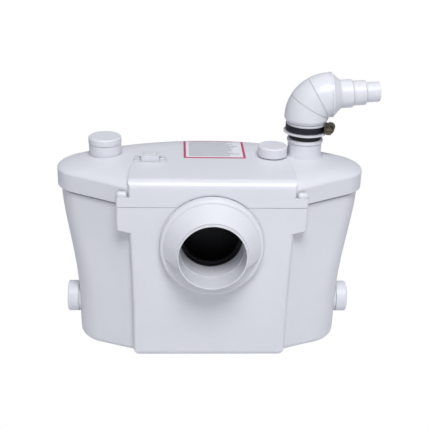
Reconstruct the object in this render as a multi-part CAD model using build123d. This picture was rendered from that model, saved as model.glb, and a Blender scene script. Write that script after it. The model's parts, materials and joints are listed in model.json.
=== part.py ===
from build123d import *
import math
import os

# Macerator toilet pump, in millimetres
# The base stands on z = 0, the soil inlet faces -Y on the plane x = 0, and the outlet leaves along +X

# General fits and overruns
CUT = 1.0
SEAT_GAP = 0.3
RUNNING_GAP = 0.05
SMALL_ROUND = 1.0

# Plan of the tank and lid: straight tips, round corners, sloping front sides and one broad back arc
PLAN_CENTRE_Y = 9.7
TANK_HEIGHT = 185.0
TANK_WALL = 3.0
TANK_BASE_HALF_LENGTH = 150.5
TANK_TOP_HALF_LENGTH = 168.5
TANK_BASE_REACH_BACK = 71.0
TANK_TOP_REACH_BACK = 76.0
TANK_CORNER_RADIUS = 38.0
TANK_BASE_TIP = 15.0
TANK_TOP_TIP = 1.0
TANK_BASE_SLOPE_ANGLE = 21.8
TANK_TOP_SLOPE_ANGLE = 30.2
TANK_BASE_ROUND = 8.0
TANK_HEIGHT_SHARES = (0.0, 0.335, 0.551, 0.703, 0.892, 1.0)
TANK_SPREAD_SHARES = (0.0, 0.083, 0.32, 0.60, 0.917, 1.0)

# Flat front panel and the screw lugs at its top corners
PANEL_FACE_Y = -66.9
PANEL_BASE_HALF_WIDTH = 86.0
PANEL_TOP_HALF_WIDTH = 89.5
PANEL_CORNER_ROUND = 4.0
LUG_OUTER_X = 102.5
LUG_ROOT_X = 84.0
LUG_DEPTH = 14.0
LUG_INNER_DROP = 31.0
LUG_OUTER_DROP = 26.0
LUG_LID_RISE = 11.0
LUG_ROUND = 2.5
LID_SCREW_X = 96.3
LID_SCREW_INSET = 4.1
LID_SCREW_SHANK_RADIUS = 2.0
LID_SCREW_LENGTH = 30.0
LID_SCREW_HEAD_RADIUS = 3.1
LID_SCREW_HEAD_HEIGHT = 2.4
LID_SCREW_SLOT_WIDTH = 1.0
LID_SCREW_SLOT_DEPTH = 1.1
LID_BOSS_RADIUS = 3.9
LID_BOSS_RISE = 2.6

# Upstand round the tank's mouth and the seal that lies on it
UPSTAND_INSET = 3.5
UPSTAND_WALL = 2.0
UPSTAND_RISE = 6.0
UPSTAND_ROOT = 7.0
LID_SEAL_HEIGHT = 2.0
LID_RIB_MARGIN = 0.2
LID_RIB_HEIGHT = 20.0

# Lid cover
LID_HALF_LENGTH = 172.5
LID_REACH_BACK = 80.0
LID_CORNER_RADIUS = 40.0
LID_TIP = 1.0
LID_SLOPE_ANGLE = 30.4
LID_WALL = 3.0
LID_GAP = 0.4
SKIRT_HEIGHT = 18.6
DOME_RISE = 10.0
DOME_SHRINK_SHARE = 0.4
DOME_STEPS = 8
DOME_STEP_POWER = 1.4

# Bonnet, the level block at the front of the lid
BONNET_FRONT_RISE = 11.2
BONNET_BACK_RISE = 9.9
BONNET_BEND_Y = -30.0
BONNET_BACK_Y = 14.0
BONNET_BACK_HALF_WIDTH = 52.0
BONNET_NOSE_ROUND = 10.0

# Soil inlet collar
INLET_Z = 142.5
INLET_ROOT_RADIUS = 56.0
INLET_ROOT_RISE = 12.0
INLET_ROOT_ROUND = 3.5
INLET_SPIGOT_LENGTH = 34.35
INLET_SPIGOT_RADIUS = 37.5
INLET_BORE_RADIUS = 36.0
INLET_BORE_LENGTH = 25.0
INLET_THROAT_RADIUS = 35.0
INLET_SLEEVE_RADIUS = 41.0
INLET_SLEEVE_LENGTH = 16.0
HOOD_ROOT_RADIUS = 53.0
HOOD_RIM_RADIUS = 38.8
HOOD_RIM_SETBACK = 2.6
HOOD_WALL = 2.6
HOOD_DROP = 12.5
RIM_ROUND = 0.6

# Seal behind the collar and chute down to the basket
INLET_SEAL_LENGTH = 7.0
INLET_SEAL_RADIUS = 34.0
INLET_SEAL_LIP = 1.6
INLET_SEAL_LIP_RADIUS = 31.5
CHUTE_HALF_WIDTH = 43.0
CHUTE_DEPTH = 34.0
CHUTE_WALL = 2.5
CHUTE_MOUTH_RADIUS = 36.0

# Grinder basket
BASKET_LEFT_X = -84.0
BASKET_RIGHT_X = 48.0
BASKET_FRONT_Y = -50.0
BASKET_BACK_Y = 59.0
BASKET_TOP_Z = 80.0
BASKET_WALL = 2.5
BASKET_CORNER_ROUND = 20.0
BASKET_HOLE_RADIUS = 3.0
BASKET_HOLE_ROWS = 4
BASKET_HOLE_PITCH = 13.0
BASKET_HOLE_COLUMNS = 7

# Pump and motor stack
MOTOR_X = -46.0
MOTOR_Y = 35.0
VOLUTE_RADIUS = 34.0
VOLUTE_HEIGHT = 32.0
VOLUTE_PLATE = 6.0
VOLUTE_TOP_PLATE = 4.0
VOLUTE_CAVITY_RADIUS = 29.0
VOLUTE_EYE_RADIUS = 12.0
VOLUTE_SPOUT_RADIUS = 14.5
VOLUTE_SPOUT_END_X = 0.0
EAR_ANGLES = (-60.0, 60.0, 180.0)
EAR_CENTRE_RADIUS = 38.0
EAR_RADIUS = 4.5
MOTOR_SCREW_RADIUS = 1.6
MOTOR_SCREW_HEAD_RADIUS = 3.0
MOTOR_SCREW_HEAD_HEIGHT = 2.5
MOTOR_SCREW_LENGTH = 20.0
MOTOR_SCREW_SOCKET_WIDTH = 1.0
FLANGE_HEIGHT = 12.0
CAN_RADIUS = 34.0
CAN_WALL = 1.6
CAN_HEIGHT = 60.0
CAN_COVER_HEIGHT = 12.0
CAN_COVER_WALL = 2.5
CAN_COVER_ROUND = 4.0
STATOR_HEIGHT = 28.0
STATOR_RISE = 16.0
STATOR_BORE_RADIUS = 19.0
STATOR_SLOTS = 12
STATOR_SLOT_WIDTH = 2.4
STATOR_SLOT_DEPTH = 7.0
WINDING_OUTER_RADIUS = 30.0
WINDING_INNER_RADIUS = 21.0
WINDING_HEIGHT = 9.0
ROTOR_GAP = 0.35
SHAFT_RADIUS = 5.0
SHAFT_TOP_SETBACK = 4.0
SHAFT_TIP_DROP = 30.0
BEARING_RADIUS = 11.0
BEARING_HEIGHT = 7.0
BEARING_WALL = 3.0
SHAFT_SEAL_RADIUS = 9.0
SHAFT_SEAL_HEIGHT = 4.0
IMPELLER_RADIUS = 25.0
IMPELLER_PLATE = 3.0
IMPELLER_BLADE_HEIGHT = 12.0
IMPELLER_BLADE_WIDTH = 2.2
IMPELLER_BLADES = 6
IMPELLER_HUB_RADIUS = 9.0
IMPELLER_MARGIN = 3.0
GRID_RADIUS = 20.0
GRID_WALL = 1.8
GRID_HEIGHT = 34.0
GRID_SLOTS = 16
GRID_SLOT_WIDTH = 4.0
GRID_SLOT_HEIGHT = 22.0
GRID_SLOT_DROP = 26.0
GRID_FLANGE_RADIUS = 21.2
GRID_FLANGE_HEIGHT = 2.5
CUTTER_RADIUS = 17.5
CUTTER_PLATE = 3.0
CUTTER_DROP = 24.0
CUTTER_BLADES = 3
CUTTER_BLADE_HEIGHT = 11.0
CUTTER_BLADE_WIDTH = 3.0
NUT_WIDTH = 13.0
NUT_HEIGHT = 5.0

# Capacitor
CAPACITOR_X = 14.0
CAPACITOR_Y = 36.0
CAPACITOR_RADIUS = 14.0
CAPACITOR_HEIGHT = 58.0
CAPACITOR_BASE_Z = 118.0
CAPACITOR_CAP_HEIGHT = 5.0
CAPACITOR_TAG_WIDTH = 4.8
CAPACITOR_TAG_THICKNESS = 0.8
CAPACITOR_TAG_HEIGHT = 8.0
CLIP_WALL = 2.0
CLIP_HEIGHT = 12.0
CLIP_RISE = 24.0
CLIP_ARM_WIDTH = 8.0

# Outlet neck, sleeve, check valve and discharge pipe
OUTLET_X = 108.5
OUTLET_Y = 28.0
NECK_RADIUS = 19.3
NECK_BORE_RADIUS = 17.7
NECK_ROOT_Z = 206.0
NECK_TOP_Z = 234.0
NECK_FLARE_RADIUS = 25.5
NECK_FLARE_HEIGHT = 11.0
COLLAR_RADIUS = 20.5
COLLAR_HEIGHT = 4.5
SLEEVE_RADIUS = 17.4
SLEEVE_BORE_RADIUS = 14.4
SLEEVE_LOW_Z = 222.0
SLEEVE_TOP_Z = 252.0
VALVE_SEAT_BORE_RADIUS = 9.5
VALVE_SEAT_HEIGHT = 3.0
CHECK_FLAP_RADIUS = 11.0
CHECK_FLAP_THICKNESS = 2.0
CHECK_PIN_RADIUS = 1.0
CHECK_PIN_OFFSET = 11.5
CHECK_PIN_HALF_LENGTH = 6.0
CHECK_EAR_WIDTH = 1.8
CHECK_KNUCKLE_RADIUS = 1.8
PIPE_RADIUS = 12.0
PIPE_BORE_RADIUS = 10.0
PIPE_Z = 97.0
PIPE_Y = 55.0
PIPE_TURN_X = 68.0
PIPE_PLAN_BEND = 30.0
PIPE_RISE_BEND = 22.0
PIPE_TOP_Z = 221.0
BUSH_BORE_GAP = 0.3
BUSH_LOW_Z = 207.0

# Elbow in three wedges that meet at one pivot line
ELBOW_RADIUS = 25.0
ELBOW_BORE_RADIUS = 20.5
ELBOW_SWEEP_RADIUS = 25.5
ELBOW_ROOT_Z = 259.0
ELBOW_BEND = 85.5
ELBOW_SHARES = (0.345, 0.345, 0.31)
ELBOW_JOINT_GAP = 0.3
ELBOW_SPIGOT_RADIUS = 22.0
ELBOW_SPIGOT_HEIGHT = 0.9
ELBOW_END_RING = 1.6
SOCKET_LOW_Z = 238.2
SOCKET_LIP_HEIGHT = 4.3
SOCKET_LIP_RADIUS = 25.2
SOCKET_RADIUS = 22.3
SOCKET_SHOULDER = 4.0
SOCKET_BORE_CLEARANCE = 0.3
SOCKET_BORE_TOP_GAP = 1.0
SOCKET_GROOVE_DEPTH = 0.5
SOCKET_GROOVE_WIDTH = 0.8

# Stepped reducer
REDUCER_RING_RADIUS = 25.3
REDUCER_RING_LENGTH = 2.6
REDUCER_CONE_LENGTH = 8.0
REDUCER_CONE_END_RADIUS = 16.6
REDUCER_RADII = (16.0, 13.9, 11.3)
REDUCER_LENGTHS = (14.0, 15.0, 16.0)
REDUCER_RAMP = 1.0
REDUCER_WALL = 2.2

# Worm-drive clamp
BAND_THICKNESS = 0.7
BAND_WIDTH = 7.0
BAND_LOW_Z = 244.0
BAND_SLOTS = 26
BAND_SLOT_STEP = 8.0
BAND_SLOT_WIDTH = 1.1
BAND_SLOT_HEIGHT = 4.2
CLAMP_TURN = -16.0
HOUSING_RADIUS = 5.4
HOUSING_LENGTH = 13.0
HOUSING_BASE_WIDTH = 9.0
CLAMP_SCREW_RADIUS = 4.0
CLAMP_SCREW_OVERHANG = 2.0
CLAMP_THREAD_DEPTH = 0.8
CLAMP_THREAD_PITCH = 1.8
CLAMP_HEAD_WIDTH = 8.0
CLAMP_HEAD_LENGTH = 5.5
CLAMP_HEAD_SLOT_WIDTH = 1.2
CLAMP_HEAD_SLOT_DEPTH = 1.6

# Top inlet and its cap
TOP_INLET_X = -120.0
TOP_INLET_Y = 26.0
TOP_INLET_ROOT_Z = 204.0
TOP_INLET_STUB_Z = 226.0
TOP_INLET_STUB_RADIUS = 18.2
TOP_INLET_BORE_RADIUS = 15.0
TOP_INLET_CAP_RADIUS = 18.6
TOP_INLET_CAP_Z = 234.0
TOP_INLET_PLUG_DEPTH = 9.0
TOP_INLET_BEVEL = 1.4
TOP_INLET_CAP_WALL = 2.2

# Vent stub, filter and cap
VENT_X = 71.0
VENT_Y = 20.4
VENT_STUB_RADIUS = 13.5
VENT_STUB_WALL = 2.0
VENT_STUB_TOP_Z = 221.5
VENT_ROOT_Z = 207.0
VENT_CAP_RADIUS = 16.8
VENT_CAP_LOW_Z = 215.0
VENT_CAP_TOP_Z = 226.6
VENT_CAP_WALL = 2.2
VENT_CAP_BEVEL = 1.3
VENT_FILTER_HEIGHT = 6.0
VENT_LEDGE_RADIUS = 9.0

# Cable clamp
CLAMP_BOX_X = -68.2
CLAMP_BOX_Y = 2.0
CLAMP_PAD_RISE = 11.0
CLAMP_PAD_DROP = 4.0
CLAMP_BOX_LENGTH = 20.4
CLAMP_BOX_WIDTH = 15.0
CLAMP_BOX_HEIGHT = 6.0
CLAMP_BOX_WALL = 2.0
CLAMP_BOX_RECESS = 1.2
CLAMP_TAB_LENGTH = 7.5
CLAMP_TAB_HEIGHT = 2.2
CLAMP_TAB_ROUND = 3.0
CLAMP_SCREW_OFFSET = 14.0
CORD_SCREW_RADIUS = 1.4
CORD_SCREW_HEAD_RADIUS = 2.6
CORD_SCREW_HEAD_HEIGHT = 1.6
CORD_SCREW_LENGTH = 8.0
CORD_SCREW_SLOT_WIDTH = 0.8
CORD_SCREW_SLOT_DEPTH = 0.8
CORD_HOLE_RADIUS = 4.0
GROMMET_RADIUS = 6.0

# Rating label
LABEL_LEFT_X = -30.5
LABEL_RIGHT_X = 40.0
LABEL_FRONT_Y = 9.5
LABEL_BACK_Y = 73.0
LABEL_THICKNESS = 0.3
LABEL_UP_SHARE = 0.5

# Side inlets, their caps and their flap valves
SIDE_INLET_Y = 0.0
SIDE_INLET_Z = 42.9
SIDE_STUB_RADIUS = 16.5
SIDE_STUB_END_X = 162.0
SIDE_STUB_ROOT_X = 143.0
SIDE_COLLAR_RADIUS = 17.5
SIDE_COLLAR_END_X = 152.3
SIDE_BORE_RADIUS = 13.5
SIDE_CAP_RADIUS = 18.0
SIDE_CAP_END_X = 165.3
SIDE_CAP_WALL = 2.2
SIDE_CAP_ROUND = 1.6
SIDE_SEAT_BORE_RADIUS = 10.5
SIDE_SEAT_LENGTH = 16.0
SIDE_SEAT_FLANGE = 2.2
SIDE_SEAT_FLANGE_RADIUS = 16.0
SIDE_FLAP_RADIUS = 12.5
SIDE_FLAP_THICKNESS = 2.0
SIDE_HINGE_RISE = 16.5
SIDE_TRUNNION_RADIUS = 1.3
SIDE_TRUNNION_HALF_LENGTH = 8.0
SIDE_EAR_WIDTH = 2.4
SIDE_EAR_REACH = 4.6
SIDE_FLAP_NECK = 8.0

# Pressure switch
SWITCH_X = 92.0
SWITCH_Y = -20.0
DIP_TUBE_RADIUS = 10.0
DIP_TUBE_WALL = 2.0
DIP_TUBE_TOP_Z = 140.0
DIP_TUBE_NOTCH = 8.0
DIAPHRAGM_RADIUS = 21.0
HOUSING_BOWL_HEIGHT = 9.0
HOUSING_BOWL_WALL = 2.0
DIAPHRAGM_THICKNESS = 1.5
HOUSING_COVER_HEIGHT = 7.0
PLUNGER_RADIUS = 3.0
PLUNGER_RISE = 9.0
PLUNGER_PLATE_RADIUS = 12.0
PLUNGER_TRAVEL = 2.0
SWITCH_LENGTH = 20.0
SWITCH_WIDTH = 10.0
SWITCH_HEIGHT = 16.0
SWITCH_TAG_HEIGHT = 5.0
SWITCH_TAG_WIDTH = 4.0
SWITCH_TAG_THICKNESS = 0.8

# Derived heights of the lid
LID_LOW_Z = TANK_HEIGHT + LID_GAP
SHOULDER_Z = LID_LOW_Z + SKIRT_HEIGHT
UPSTAND_TOP_Z = TANK_HEIGHT + UPSTAND_RISE
LID_SEAL_TOP_Z = UPSTAND_TOP_Z + LID_SEAL_HEIGHT

# Derived heights of the motor stack
VOLUTE_LOW_Z = BASKET_TOP_Z
VOLUTE_TOP_Z = VOLUTE_LOW_Z + VOLUTE_HEIGHT
FLANGE_TOP_Z = VOLUTE_TOP_Z + FLANGE_HEIGHT
CAN_TOP_Z = FLANGE_TOP_Z + CAN_HEIGHT
COVER_TOP_Z = CAN_TOP_Z + CAN_COVER_HEIGHT
STATOR_LOW_Z = FLANGE_TOP_Z + STATOR_RISE
STATOR_TOP_Z = STATOR_LOW_Z + STATOR_HEIGHT
SHAFT_TOP_Z = COVER_TOP_Z - SHAFT_TOP_SETBACK

# Derived places of the elbow
PIVOT = (OUTLET_X + ELBOW_SWEEP_RADIUS, OUTLET_Y, ELBOW_ROOT_Z)
PIVOT_AXIS = Axis(PIVOT, (0, 1, 0))
FIRST_ANGLE = ELBOW_BEND * ELBOW_SHARES[0]
SECOND_ANGLE = FIRST_ANGLE + ELBOW_BEND * ELBOW_SHARES[1]


# Basic solids

def block(x0, x1, y0, y1, z0, z1):
    place = Pos((x0 + x1) / 2, (y0 + y1) / 2, (z0 + z1) / 2)
    return place * Box(abs(x1 - x0), abs(y1 - y0), abs(z1 - z0))


def rod_z(radius, low, high, x=0.0, y=0.0):
    return Pos(x, y, (low + high) / 2) * Cylinder(radius, abs(high - low))


def rod_x(radius, x0, x1, y, z):
    return Pos((x0 + x1) / 2, y, z) * Rot(0, 90, 0) * Cylinder(radius, abs(x1 - x0))


def rod_y(radius, y0, y1, x, z):
    return Pos(x, (y0 + y1) / 2, z) * Rot(90, 0, 0) * Cylinder(radius, abs(y1 - y0))


def ring_z(outer, inner, low, high, x=0.0, y=0.0):
    return rod_z(outer, low, high, x, y) - rod_z(inner, low - CUT, high + CUT, x, y)


def spun(points, x, y):
    profile = Plane.XZ * make_face(Polyline(*points, close=True))
    return Pos(x, y, 0) * revolve(profile, Axis.Z)


def polar(radius, angle, x, y):
    turn = math.radians(angle)
    return x + radius * math.cos(turn), y + radius * math.sin(turn)


# Plan outlines, drawn from the right half and mirrored

def back_arc_points(half_length, reach, corner):
    side = half_length - corner
    broad = (side ** 2 + reach ** 2 - corner ** 2) / (2 * (reach - corner))
    centre = PLAN_CENTRE_Y + reach - broad
    span = broad - corner
    touch = (side * broad / span, centre + (PLAN_CENTRE_Y - centre) * broad / span)
    middle_turn = math.atan2(PLAN_CENTRE_Y - centre, side) / 2
    corner_middle = (side + corner * math.cos(middle_turn), PLAN_CENTRE_Y + corner * math.sin(middle_turn))
    return touch, corner_middle


def plan_face(half_length, reach, corner, tip, slope_angle, front, step_half=None):
    slope = math.radians(slope_angle)
    centre_y = PLAN_CENTRE_Y - tip
    side = half_length - corner
    slope_start = (side + corner * math.sin(slope), centre_y - corner * math.cos(slope))
    turn = (math.pi / 2 - slope) / 2
    corner_middle = (side + corner * math.cos(turn), centre_y - corner * math.sin(turn))
    touch, back_middle = back_arc_points(half_length, reach, corner)
    if step_half is None:
        end_x = slope_start[0] - (slope_start[1] - front) / math.tan(slope)
        right = [Line(slope_start, (end_x, front))]
    else:
        end_x = step_half
        end_y = slope_start[1] - (slope_start[0] - end_x) * math.tan(slope)
        bend = max(PANEL_CORNER_ROUND - (front - PANEL_FACE_Y), SMALL_ROUND)
        diagonal = bend * math.sin(math.pi / 4)
        bend_middle = (end_x - bend + diagonal, front + bend - diagonal)
        right = [Line(slope_start, (end_x, end_y)), Line((end_x, end_y), (end_x, front + bend)),
                 ThreePointArc((end_x, front + bend), bend_middle, (end_x - bend, front))]
        end_x -= bend
    right.append(Line((half_length, PLAN_CENTRE_Y), (half_length, centre_y)))
    right.append(ThreePointArc((half_length, centre_y), corner_middle, slope_start))
    right.append(ThreePointArc((half_length, PLAN_CENTRE_Y), back_middle, touch))
    left = [edge.mirror(Plane.YZ) for edge in right]
    front_line = Line((-end_x, front), (end_x, front))
    back_arc = ThreePointArc(touch, (0, PLAN_CENTRE_Y + reach), (-touch[0], touch[1]))
    return Face(Wire(right + left + [front_line, back_arc]))


def tank_face(spread, inset):
    half = TANK_BASE_HALF_LENGTH + (TANK_TOP_HALF_LENGTH - TANK_BASE_HALF_LENGTH) * spread
    reach = TANK_BASE_REACH_BACK + (TANK_TOP_REACH_BACK - TANK_BASE_REACH_BACK) * spread
    tip = TANK_BASE_TIP + (TANK_TOP_TIP - TANK_BASE_TIP) * spread
    slope = TANK_BASE_SLOPE_ANGLE + (TANK_TOP_SLOPE_ANGLE - TANK_BASE_SLOPE_ANGLE) * spread
    panel = PANEL_BASE_HALF_WIDTH + (PANEL_TOP_HALF_WIDTH - PANEL_BASE_HALF_WIDTH) * spread
    return plan_face(half - inset, reach - inset, TANK_CORNER_RADIUS - inset, tip, slope,
                     PANEL_FACE_Y + inset, panel - inset)


def lid_face(inset, scale=1.0):
    front = PLAN_CENTRE_Y + (PANEL_FACE_Y + inset - PLAN_CENTRE_Y) * scale
    return plan_face((LID_HALF_LENGTH - inset) * scale, (LID_REACH_BACK - inset) * scale,
                     (LID_CORNER_RADIUS - inset) * scale, LID_TIP * scale, LID_SLOPE_ANGLE, front)


def seam_prism(inset, low, high):
    return Pos(0, 0, low) * extrude(tank_face(1.0, inset), amount=high - low, dir=(0, 0, 1))


def seam_ring(outer_inset, inner_inset, low, high):
    return seam_prism(outer_inset, low, high) - seam_prism(inner_inset, low - CUT, high + CUT)


# Tank

def tank_form(inset, low, overshoot):
    sections = []
    for height, spread in zip(TANK_HEIGHT_SHARES, TANK_SPREAD_SHARES):
        z = low + (TANK_HEIGHT + overshoot - low) * height
        sections.append(Pos(0, 0, z) * tank_face(spread, inset))
    return loft(sections)


def lug_form(side, low_inner, low_outer, top):
    corners = (
        (side * LUG_ROOT_X, low_inner), (side * LUG_OUTER_X, low_outer),
        (side * LUG_OUTER_X, top), (side * LUG_ROOT_X, top))
    plane = Plane(origin=(0, PANEL_FACE_Y, 0), x_dir=(1, 0, 0), z_dir=(0, -1, 0))
    lug = extrude(plane * make_face(Polyline(*corners, close=True)), amount=-LUG_DEPTH)
    outer_edge = lug.edges().filter_by(Axis.Z).sort_by(Axis.Y)[:2].sort_by(Axis.X)
    return fillet(outer_edge[-1] if side > 0 else outer_edge[0], LUG_ROUND)


def side_stub(side):
    stub = rod_x(SIDE_STUB_RADIUS, side * SIDE_STUB_ROOT_X, side * SIDE_STUB_END_X,
                 SIDE_INLET_Y, SIDE_INLET_Z)
    collar = rod_x(SIDE_COLLAR_RADIUS, side * SIDE_STUB_ROOT_X, side * SIDE_COLLAR_END_X,
                   SIDE_INLET_Y, SIDE_INLET_Z)
    return stub + collar


def make_tank():
    body = tank_form(0, 0, 0)
    base_edges = body.faces().sort_by(Axis.Z)[0].edges()
    body = fillet(base_edges, TANK_BASE_ROUND)
    lugs = [lug_form(side, TANK_HEIGHT - LUG_INNER_DROP, TANK_HEIGHT - LUG_OUTER_DROP, TANK_HEIGHT)
            for side in (-1, 1)]
    body += lugs + [side_stub(side) for side in (-1, 1)]
    body -= tank_form(TANK_WALL, TANK_WALL, CUT)
    ledge_low = TANK_HEIGHT - UPSTAND_ROOT
    upstand = seam_prism(TANK_WALL - SMALL_ROUND, ledge_low, TANK_HEIGHT)
    upstand += seam_prism(UPSTAND_INSET, TANK_HEIGHT, UPSTAND_TOP_Z)
    upstand -= seam_prism(UPSTAND_INSET + UPSTAND_WALL, ledge_low - CUT, UPSTAND_TOP_Z + CUT)
    body += upstand
    tongue = rod_y(INLET_ROOT_RADIUS, PANEL_FACE_Y, PANEL_FACE_Y + TANK_WALL, 0, INLET_Z)
    body += tongue & block(-INLET_ROOT_RADIUS, INLET_ROOT_RADIUS, PANEL_FACE_Y,
                           PANEL_FACE_Y + TANK_WALL, TANK_HEIGHT - CUT, INLET_Z + INLET_ROOT_RADIUS)
    body -= rod_y(INLET_SLEEVE_RADIUS + SEAT_GAP, PANEL_FACE_Y - CUT,
                  PANEL_FACE_Y + UPSTAND_INSET + UPSTAND_WALL + CUT, 0, INLET_Z)
    screw_y = PANEL_FACE_Y + LID_SCREW_INSET
    for side in (-1, 1):
        body -= rod_x(SIDE_BORE_RADIUS, side * (SIDE_STUB_ROOT_X - SIDE_CAP_ROUND),
                      side * (SIDE_STUB_END_X + CUT), SIDE_INLET_Y, SIDE_INLET_Z)
        body -= rod_z(LID_SCREW_SHANK_RADIUS + SEAT_GAP, TANK_HEIGHT - LUG_OUTER_DROP + LUG_ROUND,
                      TANK_HEIGHT + CUT, side * LID_SCREW_X, screw_y)
    return body


def tank_slices():
    whole = make_tank()
    half = LID_HALF_LENGTH
    front = PANEL_FACE_Y - CUT
    seam = SIDE_INLET_Y + SIDE_COLLAR_RADIUS + SMALL_ROUND
    back = PLAN_CENTRE_Y + LID_REACH_BACK
    top = UPSTAND_TOP_Z + CUT
    floor = whole & block(-half, half, front, back, -CUT, TANK_WALL)
    front_wall = whole & block(-half, half, front, seam, TANK_WALL, top)
    back_wall = whole & block(-half, half, seam, back, TANK_WALL, top)
    return floor, front_wall, back_wall


# Lid

def lid_dome(inset, shift):
    sections = []
    for step in range(DOME_STEPS + 1):
        turn = math.pi / 2 * (step / DOME_STEPS) ** DOME_STEP_POWER
        scale = 1 - DOME_SHRINK_SHARE * (1 - math.cos(turn))
        z = SHOULDER_Z + shift + DOME_RISE * math.sin(turn)
        sections.append(Pos(0, 0, z) * lid_face(inset, scale))
    return loft(sections, ruled=True)


def bonnet_plan(inset, low, high):
    half = PANEL_TOP_HALF_WIDTH - inset
    front = PANEL_FACE_Y + inset
    back = BONNET_BACK_Y - inset
    back_half = BONNET_BACK_HALF_WIDTH - inset
    outline = Wire([
        Line((-half, front), (half, front)),
        Line((half, front), (half, BONNET_BEND_Y)),
        Spline((half, BONNET_BEND_Y), (back_half, back), tangents=((0, 1), (-1, 0))),
        Line((back_half, back), (-back_half, back)),
        Spline((-back_half, back), (-half, BONNET_BEND_Y), tangents=((-1, 0), (0, -1))),
        Line((-half, BONNET_BEND_Y), (-half, front))])
    prism = Pos(0, 0, low) * extrude(Face(outline), amount=high - low, dir=(0, 0, 1))
    corners = prism.edges().filter_by(Axis.Z).sort_by(Axis.Y)[:2]
    return fillet(corners, max(PANEL_CORNER_ROUND - inset, SMALL_ROUND))


def bonnet_form(inset, low):
    front = PANEL_FACE_Y + inset
    front_z = SHOULDER_Z + BONNET_FRONT_RISE - inset
    back_z = SHOULDER_Z + BONNET_BACK_RISE - inset
    corners = ((front, low), (front, front_z), (BONNET_BACK_Y, back_z), (BONNET_BACK_Y, low))
    plane = Plane(origin=(-LID_HALF_LENGTH, 0, 0), x_dir=(0, 1, 0), z_dir=(1, 0, 0))
    wedge = extrude(plane * make_face(Polyline(*corners, close=True)), amount=2 * LID_HALF_LENGTH)
    nose = wedge.edges().filter_by(Axis.X).group_by(Axis.Y)[0].sort_by(Axis.Z)[-1]
    wedge = fillet(nose, BONNET_NOSE_ROUND - inset)
    return bonnet_plan(inset, low, front_z + CUT) & wedge


def lid_form(inset, low):
    height = SHOULDER_Z - inset - low
    skirt = Pos(0, 0, low) * extrude(lid_face(inset), amount=height, dir=(0, 0, 1))
    return skirt + lid_dome(inset, -inset) + bonnet_form(inset, low)


def neck_form():
    points = (
        (0, NECK_ROOT_Z), (NECK_FLARE_RADIUS, NECK_ROOT_Z), (NECK_RADIUS, NECK_ROOT_Z + NECK_FLARE_HEIGHT),
        (NECK_RADIUS, NECK_TOP_Z - COLLAR_HEIGHT), (COLLAR_RADIUS, NECK_TOP_Z - COLLAR_HEIGHT + SMALL_ROUND),
        (COLLAR_RADIUS, NECK_TOP_Z - SMALL_ROUND), (COLLAR_RADIUS - SMALL_ROUND, NECK_TOP_Z),
        (0, NECK_TOP_Z))
    return spun(points, OUTLET_X, OUTLET_Y)


def lid_pad():
    half = CLAMP_SCREW_OFFSET + CORD_SCREW_HEAD_RADIUS + SMALL_ROUND
    width = CLAMP_BOX_WIDTH / 2 + SMALL_ROUND
    top = SHOULDER_Z + CLAMP_PAD_RISE
    pad = block(CLAMP_BOX_X - half, CLAMP_BOX_X + half, CLAMP_BOX_Y - width,
                CLAMP_BOX_Y + width, top - CLAMP_PAD_DROP, top)
    return fillet(pad.edges().filter_by(Axis.Z), CLAMP_TAB_ROUND)


def make_lid():
    screw_y = PANEL_FACE_Y + LID_SCREW_INSET
    lug_top = LID_LOW_Z + LUG_LID_RISE
    body = lid_form(0, LID_LOW_Z)
    for side in (-1, 1):
        body += lug_form(side, LID_LOW_Z, LID_LOW_Z, lug_top)
        body += rod_z(LID_BOSS_RADIUS, LID_LOW_Z, lug_top + LID_BOSS_RISE, side * LID_SCREW_X, screw_y)
    inner = lid_form(LID_WALL, LID_LOW_Z - CUT)
    body -= inner
    body += rod_z(TOP_INLET_STUB_RADIUS, TOP_INLET_ROOT_Z, TOP_INLET_STUB_Z, TOP_INLET_X, TOP_INLET_Y)
    body += rod_z(VENT_STUB_RADIUS, VENT_ROOT_Z, VENT_STUB_TOP_Z, VENT_X, VENT_Y)
    body += neck_form()
    body += lid_pad()
    rib = seam_ring(UPSTAND_INSET + LID_RIB_MARGIN, UPSTAND_INSET + UPSTAND_WALL - LID_RIB_MARGIN,
                    LID_SEAL_TOP_Z + SEAT_GAP, LID_SEAL_TOP_Z + LID_RIB_HEIGHT)
    body += rib & lid_form(SMALL_ROUND, LID_LOW_Z)
    body -= rod_y(INLET_ROOT_RADIUS + LID_GAP, PANEL_FACE_Y - CUT, PANEL_FACE_Y + LID_WALL + CUT, 0, INLET_Z)
    body -= rod_z(TOP_INLET_BORE_RADIUS, TOP_INLET_ROOT_Z - CUT, TOP_INLET_STUB_Z + CUT,
                  TOP_INLET_X, TOP_INLET_Y)
    body -= rod_z(VENT_LEDGE_RADIUS, VENT_ROOT_Z - CUT, VENT_STUB_TOP_Z + CUT, VENT_X, VENT_Y)
    body -= rod_z(VENT_STUB_RADIUS - VENT_STUB_WALL, VENT_STUB_TOP_Z - VENT_FILTER_HEIGHT - SMALL_ROUND,
                  VENT_STUB_TOP_Z + CUT, VENT_X, VENT_Y)
    body -= rod_z(NECK_BORE_RADIUS, NECK_ROOT_Z - CUT, NECK_TOP_Z + CUT, OUTLET_X, OUTLET_Y)
    body -= rod_z(GROMMET_RADIUS + SEAT_GAP, TANK_HEIGHT, SHOULDER_Z + CLAMP_PAD_RISE + CUT,
                  CLAMP_BOX_X, CLAMP_BOX_Y)
    for side in (-1, 1):
        body -= rod_z(LID_SCREW_SHANK_RADIUS + SEAT_GAP, LID_LOW_Z - CUT,
                      lug_top + LID_BOSS_RISE + CUT, side * LID_SCREW_X, screw_y)
        body -= rod_z(CORD_SCREW_RADIUS + SEAT_GAP, SHOULDER_Z, SHOULDER_Z + CLAMP_PAD_RISE + CUT,
                      CLAMP_BOX_X + side * CLAMP_SCREW_OFFSET, CLAMP_BOX_Y)
    return body


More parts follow.
